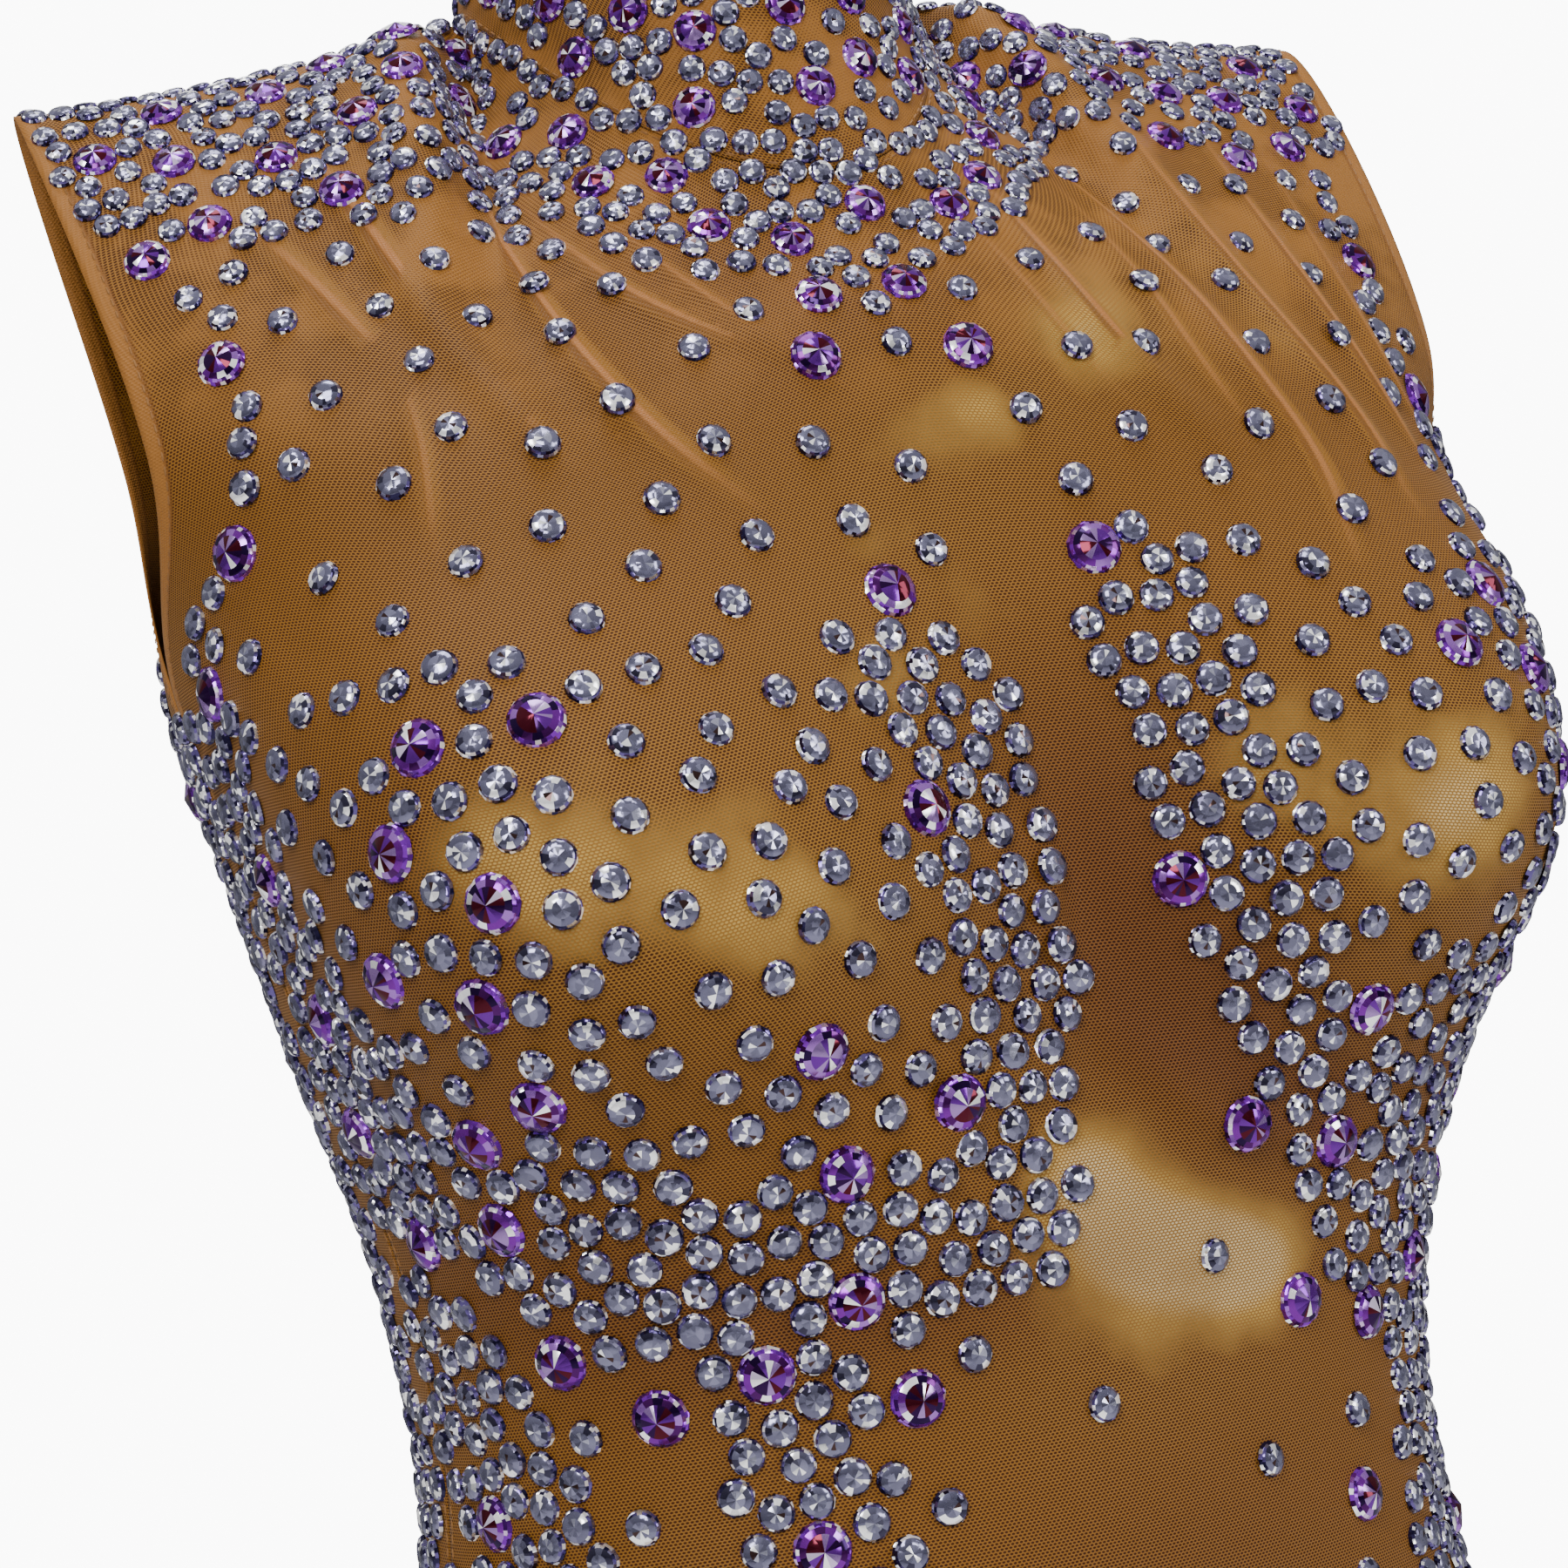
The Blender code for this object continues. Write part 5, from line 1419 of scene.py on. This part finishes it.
def cut_group():
    """Draws the facets of a round stone. Each has a chance value, and leans its own way."""
    inputs = ("Wedges", "Float", 11.0), ("Rim Facets", "Float", 20.0), ("Middle Size", "Float", 0.45)
    outputs = ("Chance", "Float"), ("Lens", "Float"), ("Rim", "Float"), ("Normal", "Vector")
    n, given = new_group("cut facets", "ShaderNodeTree", inputs, outputs)
    cut = n.split(n.attribute("cut", "Vector"))
    x, y = cut["X"], cut["Y"]
    far = n.math("SQRT", n.plus(n.times(x, x), n.times(y, y)))
    turn = n.over(n.math("ARCTAN2", y, x), 2 * math.pi)
    lens = n.math("GREATER_THAN", far, given["Middle Size"])
    rim = n.math("GREATER_THAN", far, RIM_FROM)
    part = n.plus(n.plus(lens, rim), n.math("GREATER_THAN", far, EDGE_FROM))
    more = n.times(rim, n.minus(given["Rim Facets"], given["Wedges"]))
    count = n.plus(given["Wedges"], more)
    wedge = n.math("FLOOR", n.plus(n.times(turn, count), n.times(part, 0.5)))
    facet = {"X": wedge, "Y": part, "Z": n.attribute("stone")}
    whole = {axis: n.math("FLOOR", n.plus(value, 0.5)) for axis, value in facet.items()}
    vector = n.new("ShaderNodeCombineXYZ", whole).outputs[0]
    chance = n.new("ShaderNodeTexWhiteNoise", {"Vector": vector}, noise_dimensions="3D")
    lean = n.vector("SUBTRACT", chance.outputs["Color"], (0.5, 0.5, 0.5))
    tilt = n.plus(LENS_TILT, n.times(rim, RIM_TILT - LENS_TILT))
    scaled = n.new("ShaderNodeVectorMath", {0: lean, "Scale": tilt}, operation="SCALE").outputs[0]
    leaning = n.vector("ADD", n.new("ShaderNodeNewGeometry").outputs["Normal"], scaled)
    unit = n.new("ShaderNodeVectorMath", {0: leaning}, operation="NORMALIZE").outputs[0]
    found = {"Chance": chance.outputs["Value"], "Lens": lens, "Rim": rim, "Normal": unit}
    n.new("NodeGroupOutput", found)
    return n.tree


CUT_FACETS = cut_group()


def tone_ramp(n, rows, share):
    ramp = n.new("ShaderNodeValToRGB", {"Fac": share})
    stops = ramp.color_ramp.elements
    ramp.color_ramp.interpolation = "CONSTANT"
    while len(stops) < len(rows):
        stops.new(0.5)
    for stop, (place, colour) in zip(stops, rows):
        stop.position, stop.color = place, rgb(*colour)
    return ramp.outputs["Color"]


def stone_material(name, tones, wedges, rim_facets, middle_size):
    """Foiled glass: one tone for each facet, picked from the row of its part of the stone. The tones are
    the glass's colour with the foil's reflections painted in as dark and white facets, and the
    brightest facets get a painted glow as glints.
    """
    made, n, shader = new_material(name)
    facets = n.new("ShaderNodeGroup", node_tree=CUT_FACETS)
    n.fill(facets, {"Wedges": wedges, "Rim Facets": rim_facets, "Middle Size": middle_size})
    chance, lens, rim, normal = [facets.outputs[name] for name in ("Chance", "Lens", "Rim", "Normal")]
    tone = n.mix(lens, tone_ramp(n, tones.middle, chance), tone_ramp(n, tones.lens, chance))
    tone = n.mix(rim, tone, tone_ramp(n, tones.rim, chance))
    # painted glints: the brightest facets glow as if catching a lamp
    flash = n.math("GREATER_THAN", chance, FLASH_FROM)
    n.fill(shader, {
        "Base Color": tone,
        "Normal": normal,
        "Metallic": 0.75,
        "Roughness": n.plus(0.10, n.times(chance, 0.12)),
        "Emission Color": n.mix(flash, rgb(0, 0, 0), rgb(1.0, 0.97, 1.0)),
        "Emission Strength": FLASH_POWER,
    })
    return made


CLEAR = stone_material("clear_stone", CLEAR_TONES_AND_REFLECTIONS, 10.0, 20.0, 0.46)
PURPLE = stone_material("purple_stone", PURPLE_TONES_AND_REFLECTIONS, 13.0, 28.0, 0.58)
print("stone materials:", CLEAR.name, PURPLE.name)


# %% [markdown]
# ## Set the stones
# Now the places, the shapes and the materials meet. A stone's height above the cloth follows the same
# creases as the cloth, so none floats or sinks. The clear stones of each cloth piece become one mesh,
# and its purple stones another.

# %% Stones on each piece
SPIN, CLEAR_TILT, LARGE_TILT = math.pi, math.radians(6), math.radians(3)
CLEAR_SEED, PURPLE_SEED = 60, 80
SMALL_STEP = 0.001


def on_cloth(piece, across, up):
    """Points, outward and upward directions on the outer face, after the stance."""
    normal = outward_on(piece, across, up)
    rise = slopes_on(piece, across, up)[1]
    point = place_on(piece, across, up) + normal * (WALL + crease_height(piece, across, up))[:, None]
    placed = stand(point)
    outward = stand(point + normal * SMALL_STEP) - placed
    upward = stand(point + rise * SMALL_STEP) - placed
    return placed, outward, upward


stones = []
for number, piece in enumerate(PIECES):
    across, up, radius = small[piece]
    points, outward, upward = on_cloth(piece, across, up)
    made = set_on_points(piece + "_clear_stones", flat_back, points, turns_from(outward, upward),
                         radius, CLEAR, spin=SPIN, tilt=CLEAR_TILT, seed=CLEAR_SEED + number)
    stones.append((made, "clear_stones"))
    own = [stone for stone in large if stone[0] == piece]
    across, up, radius = np.array([stone[1:] for stone in own]).T
    points, outward, upward = on_cloth(piece, across, up)
    made = set_on_points(piece + "_purple_stones", pointed, points, turns_from(outward, upward),
                         radius, PURPLE, spin=SPIN, tilt=LARGE_TILT, seed=PURPLE_SEED + number)
    stones.append((made, "purple_stones"))
    print(piece, "stones:", len(small[piece][0]), "clear and", len(own), "purple")
for helper in (flat_back, pointed):
    bpy.data.objects.remove(helper)

# %% [markdown]
# ## Seams, hems and the zip
# Stretch net is sewn with a short stitch on both sides of each seam, and its raw edges are turned in
# and held by one line. The stitches are copies of one small thread shape, set by the same tree. The
# zip's tape is a narrow shell, and its moulded teeth alternate from side to side where they mesh.

# %% Materials of thread, tape, teeth and metal
def grained_material(name, dark, light, scale, rough, metallic=0.0, bump_height=0.0001):
    """Two close tones mixed by fine noise, which also moves the roughness and the surface."""
    made, n, shader = new_material(name)
    share = n.noise(scale, 4.0)
    n.fill(shader, {
        "Base Color": n.mix(share, dark, light),
        "Roughness": n.plus(rough, n.times(n.minus(share, 0.5), 0.4)),
        "Metallic": metallic,
        "Normal": n.bump(share, bump_height, 0.4),
    })
    return made


def tape_material():
    """A woven herringbone: fine ribs that lean one way and then the other across the tape."""
    made, n, shader = new_material("zip_tape")
    place = n.split(n.place())
    zigzag = n.math("PINGPONG", place["X"], TAPE_RIB)
    ribs = n.math("SINE", n.times(n.plus(place["Z"], zigzag), 2 * math.pi / TAPE_PITCH))
    share = n.plus(n.times(ribs, 0.5), 0.5)
    n.fill(shader, {
        "Base Color": n.mix(share, rgb(0.10, 0.042, 0.012), rgb(0.27, 0.125, 0.040)),
        "Roughness": n.minus(0.82, n.times(share, 0.15)),
        "Normal": n.bump(share, 0.0001),
    })
    return made


TAPE_RIB, TAPE_PITCH = 0.0010, 0.0007
THREAD_BROWN, THREAD_TAN = rgb(0.17, 0.065, 0.012), rgb(0.42, 0.200, 0.055)
TOOTH_DARK, TOOTH_LIGHT = rgb(0.090, 0.040, 0.018), rgb(0.150, 0.070, 0.032)
METAL_DARK, METAL_LIGHT = rgb(0.46, 0.45, 0.44), rgb(0.70, 0.68, 0.66)
THREAD_FINISH = grained_material("sewing_thread", THREAD_BROWN, THREAD_TAN, 2500.0, 0.62)
TEETH = grained_material("zip_teeth", TOOTH_DARK, TOOTH_LIGHT, 900.0, 0.38)
METAL = grained_material("zip_metal", METAL_DARK, METAL_LIGHT, 350.0, 0.26, 1.0, 0.00003)
TAPE = tape_material()
print("sewing and zip materials:", THREAD_FINISH.name, TEETH.name, METAL.name, TAPE.name)

# %% Stitches along seams and hems
STITCH_HALF_LONG, STITCH_HALF_WIDE, STITCH_HIGH, STITCH_PITCH = 0.0012, 0.00028, 0.00028, 0.0032
SEAM_IN, EDGE_IN, HEM_IN = 0.0016, 0.0040, 0.0080
StitchLine = namedtuple("StitchLine", "piece across0 up0 across1 up1 inside")
LINE_SAMPLES = 500


def stitch_lines():
    """The lines along every seam and raw edge, each with how far inside the edge it runs."""
    rows = [("collar", -2, 0, 2, 0, SEAM_IN), ("collar", -2, 1, 2, 1, EDGE_IN)]
    for piece, low, high in (("front", -1, 1), ("back_left", 0, 1), ("back_right", -1, 0)):
        rows += [(piece, low, z, high, z, SEAM_IN) for z in (TOP_UP, HIP_Z)]
        for side in {low, high} - {0}:
            rows.append((piece, side, HIP_Z, side, ARM_Z, SEAM_IN))
            rows.append((piece, side, ARM_Z, side, TOP_UP, EDGE_IN))
    for piece in ("leg_left", "leg_right"):
        rows += [(piece, 0, HIP_Z, 1, HIP_Z, SEAM_IN), (piece, 0, HEM_Z, 1, HEM_Z, HEM_IN)]
        rows += [(piece, side, HEM_Z, side, HIP_Z, SEAM_IN) for side in (0, 1)]
    return [StitchLine(*row) for row in rows]


def stitches_on(line):
    """Places, outward directions and run directions of the stitches on one line."""
    reach = PIECES[line.piece]
    t = np.linspace(0, 1, LINE_SAMPLES)
    across = line.across0 + (line.across1 - line.across0) * t
    up = line.up0 + (line.up1 - line.up0) * t
    far = distances(place_on(line.piece, across, up))
    stops = np.arange(STITCH_PITCH, far[-1] - STITCH_PITCH / 2, STITCH_PITCH)
    across, up = np.interp(stops, far, across), np.interp(stops, far, up)
    along, rise = slopes_on(line.piece, across, up)
    if line.across0 == line.across1:
        inward = 1 if (reach.low + reach.high) / 2 > line.across0 else -1
        across = across + inward * line.inside / np.linalg.norm(along, axis=1)
        run = rise
    else:
        inward = 1 if (reach.bottom + reach.top) / 2 > line.up0 else -1
        up = up + inward * line.inside / np.linalg.norm(rise, axis=1)
        run = along
    points, outward, _ = on_cloth(line.piece, across, up)
    ahead = points - stand(place_on(line.piece, across, up) - SMALL_STEP * run)
    ahead = ahead - outward * ((ahead * outward).sum(1) / (outward * outward).sum(1))[:, None]
    return points, outward, ahead


def stitch_shape():
    """A short thread lying along Y, highest in the middle."""
    ends, wide, high = 0.6 * STITCH_HALF_LONG, STITCH_HALF_WIDE, STITCH_HIGH
    verts = [(0, -STITCH_HALF_LONG, 0)]
    for y in (-ends, ends):
        verts += [(-wide, y, 0), (0, y, high), (wide, y, 0)]
    verts.append((0, STITCH_HALF_LONG, 0))
    faces = [[0, 2, 1], [0, 3, 2], [1, 2, 5, 4], [2, 3, 6, 5], [4, 5, 7], [5, 6, 7]]
    return helper_shape("stitch_shape", verts, faces)


stitch = stitch_shape()
sewn = [stitches_on(line) for line in stitch_lines()]
places, outward, ahead = [np.vstack(part) for part in zip(*sewn)]
turns = turns_from(outward, ahead)
stitches = set_on_points("stitches", stitch, places, turns, np.ones(len(places)), THREAD_FINISH)
bpy.data.objects.remove(stitch)
print("stitches:", len(places))

# %% The zip's tape and teeth
TAPE_THICK, BEAD_HALF, BEAD_HIGH = 0.0006, 0.0012, 0.0003
TOOTH_PITCH, TOOTH_OFF, ZIP_STEPS = 0.0015, 0.00042, 260
TOOTH_HALF_WIDE, TOOTH_HALF_LONG, TOOTH_HIGH = 0.00078, 0.00030, 0.0009


def zip_line():
    """The centre back from the hip seam to the collar's top: points and outward directions."""
    body = np.linspace(HIP_Z, TOP_UP, ZIP_STEPS)
    neck = np.linspace(0, 1, ZIP_STEPS // 8)[1:]
    points = np.vstack([bodice("back", np.zeros(len(body)), body), collar(np.full(len(neck), 2.0), neck)])
    run = np.gradient(points, axis=0)
    normal = np.stack([np.zeros(len(points)), run[:, 2], -run[:, 1]], -1)
    return points, normal / np.linalg.norm(normal, axis=1)[:, None]


def make_tape(points, normals):
    """A thin band along the zip with a low bead in the middle."""
    half, top = ZIP_HALF, WALL + BEAD_HIGH
    profile = [(-half, WALL), (-BEAD_HALF, WALL), (-0.7 * BEAD_HALF, top), (0.7 * BEAD_HALF, top)]
    profile += [(BEAD_HALF, WALL), (half, WALL)]
    profile += [(side, out - TAPE_THICK) for side, out in reversed(profile)]
    verts = []
    for point, normal in zip(points, normals):
        verts += [point + normal * out + np.array([side, 0, 0]) for side, out in profile]
    count = len(profile)
    faces = [face[::-1] for face in ring_faces(count, len(points))]
    faces.append(list(range(count)))
    faces.append([len(verts) - 1 - i for i in range(count)])
    made = add_mesh("zip_tape", stand(verts), faces)
    made.data.materials.append(TAPE)
    return made


def tooth_shape():
    """A small block with its upper edges taken off, wider across the zip than along it."""
    wide, long, high = TOOTH_HALF_WIDE, TOOTH_HALF_LONG, TOOTH_HIGH
    verts = []
    for share, z in ((1.0, 0.0), (1.0, 0.7 * high), (0.7, high)):
        verts += [(-wide * share, -long * share, z), (wide * share, -long * share, z)]
        verts += [(wide * share, long * share, z), (-wide * share, long * share, z)]
    return helper_shape("tooth_shape", verts, [[8, 9, 10, 11]] + ring_faces(4, 3))


def make_teeth(points, normals):
    """Teeth every half pitch, to one side and the other in turn."""
    far = distances(points)
    stops = np.arange(TOOTH_PITCH, far[-1] - TOOTH_PITCH, TOOTH_PITCH / 2)
    spots, outward = [
        np.stack([np.interp(stops, far, column) for column in rows.T], 1) for rows in (points, normals)
    ]
    spots = spots + outward * (WALL + 0.5 * BEAD_HIGH)
    spots[:, 0] += np.where(np.arange(len(stops)) % 2, TOOTH_OFF, -TOOTH_OFF)
    ahead = np.gradient(spots, axis=0) * [0, 1, 1]
    placed = stand(spots)
    turns = turns_from(stand(spots + outward * SMALL_STEP) - placed, stand(spots + ahead) - placed)
    tooth = tooth_shape()
    made = set_on_points("zip_teeth", tooth, placed, turns, np.ones(len(spots)), TEETH)
    bpy.data.objects.remove(tooth)
    return made, len(spots)


zip_points, zip_normals = zip_line()
zip_tape = make_tape(zip_points, zip_normals)
zip_teeth, tooth_count = make_teeth(zip_points, zip_normals)
for node in ("zip_slider", "zip_pull_tab"):
    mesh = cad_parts[node].data
    mesh.materials.clear()
    mesh.materials.append(METAL)
print("zip teeth:", tooth_count)

# %% [markdown]
# Every piece rides on a body of the frame, and the cloth shells stand for the solid walls. The net
# was cut smaller than the body and stretched over it.

# %% Ride and replace
Cut = namedtuple("Cut", "wide long share")
for piece, shell in cloth.items():
    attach(shell, "garment")
    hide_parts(piece)
trims = [(stitches, "stretch_net"), (zip_tape, "zip_tape"), (zip_teeth, "zip_tape")]
for made, slot_name in stones + trims:
    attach(made, "garment")
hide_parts("zip_chain")
faces = sum(len(piece.data.polygons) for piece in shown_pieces())
print("cloth pieces:", len(cloth), "stone pieces:", len(stones), "faces in all:", faces)

# %% [markdown]
# ## Camera, light and floor
# The camera stands where the photo was taken: a little to the wearer's right, slightly below the
# bust and tilted. Soft boxes give the stones something bright to flash, while the darker room round
# them keeps the other facets dark. That contrast is what makes foil look like foil.
# The facets' colours also carry painted reflections, and the brightest facets a painted glow.

# %% Camera
CAMERA_PLACE = Vector((-0.2692, -0.7340, -0.2584))
CAMERA_SIDE, CAMERA_UP, CAMERA_ROLL = math.radians(-19.19), math.radians(-4.58), math.radians(-9.0)
CAMERA_LENS, SENSOR = 72.8, 36.0


def add_camera():
    back = Vector((
        math.sin(CAMERA_SIDE) * math.cos(CAMERA_UP),
        -math.cos(CAMERA_SIDE) * math.cos(CAMERA_UP),
        math.sin(CAMERA_UP),
    ))
    right = (-back).cross(Vector((0, 0, 1))).normalized()
    upward = right.cross(-back)
    c, s = math.cos(CAMERA_ROLL), math.sin(CAMERA_ROLL)
    rolled_right, rolled_up = c * right + s * upward, c * upward - s * right
    camera = add_object("camera", bpy.data.cameras.new("camera"))
    camera.data.lens, camera.data.sensor_width = CAMERA_LENS, SENSOR
    turn = Matrix((rolled_right, rolled_up, back)).transposed().to_4x4()
    camera.matrix_world = Matrix.Translation(CAMERA_PLACE) @ turn
    bpy.context.scene.camera = camera
    return camera


camera = add_camera()
print("camera at", [round(v, 3) for v in camera.location])

# %% Lights, world and floor
Box = namedtuple("Box", "name place aim size power")
LIGHT_BOXES = (
    Box("key", (-1.3, -1.9, 1.3), (0.0, 0.0, -0.25), 1.1, 47.0),
    Box("fill", (1.7, -1.5, 0.3), (0.0, 0.0, -0.3), 0.9, 18.0),
    Box("top", (0.1, -0.2, 2.0), (0.0, 0.0, -0.2), 1.0, 22.0),
    Box("rim", (0.6, 2.0, 0.9), (0.0, 0.0, -0.5), 1.2, 26.0),
)
FLOOR_Z, FLOOR_HALF = -1.336, 4.0
BACKDROP_POWER, ROOM_POWER = 11.0, 0.60
ROOM_DIM, ROOM_PALE = rgb(0.14, 0.14, 0.16), rgb(0.95, 0.95, 0.95)
ROOM_LIFT, ROOM_RISE = 0.35, 0.74


def add_light(box):
    data = bpy.data.lights.new(box.name, "AREA")
    data.shape, data.size, data.energy = "SQUARE", box.size, box.power
    made = add_object(box.name, data)
    made.location = box.place
    made.rotation_euler = (Vector(box.aim) - Vector(box.place)).to_track_quat("-Z", "Y").to_euler()


def make_world():
    """A pale ground for the camera and a dimmer room for the lighting."""
    world = bpy.data.worlds.new("studio")
    world.use_nodes = True
    bpy.context.scene.world = world
    n, nodes = Nodes(world.node_tree), world.node_tree.nodes
    pale = n.fill(nodes["Background"], {"Color": ROOM_PALE, "Strength": BACKDROP_POWER})
    height = n.split(n.new("ShaderNodeTexCoord").outputs["Generated"])["Z"]
    high = n.times(n.plus(height, ROOM_LIFT), ROOM_RISE, clamp=True)
    tone = n.mix(high, ROOM_DIM, ROOM_PALE)
    room = n.new("ShaderNodeBackground", {"Color": tone, "Strength": ROOM_POWER})
    seen = n.new("ShaderNodeLightPath").outputs["Is Camera Ray"]
    choose = n.new("ShaderNodeMixShader", {"Fac": seen, 1: room.outputs[0], 2: pale.outputs[0]})
    n.fill(nodes["World Output"], {"Surface": choose.outputs[0]})


def add_floor():
    half = FLOOR_HALF
    corners = [(x, y, FLOOR_Z) for x, y in ((-half, -half), (half, -half), (half, half), (-half, half))]
    floor = add_mesh("floor", corners, [[0, 1, 2, 3]])
    made, n, shader = new_material("pale_floor")
    n.fill(shader, {"Base Color": rgb(0.82, 0.82, 0.82), "Roughness": 0.7})
    floor.data.materials.append(made)
    floor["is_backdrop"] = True


for box in LIGHT_BOXES:
    add_light(box)
make_world()
add_floor()
print("lights:", len(LIGHT_BOXES))
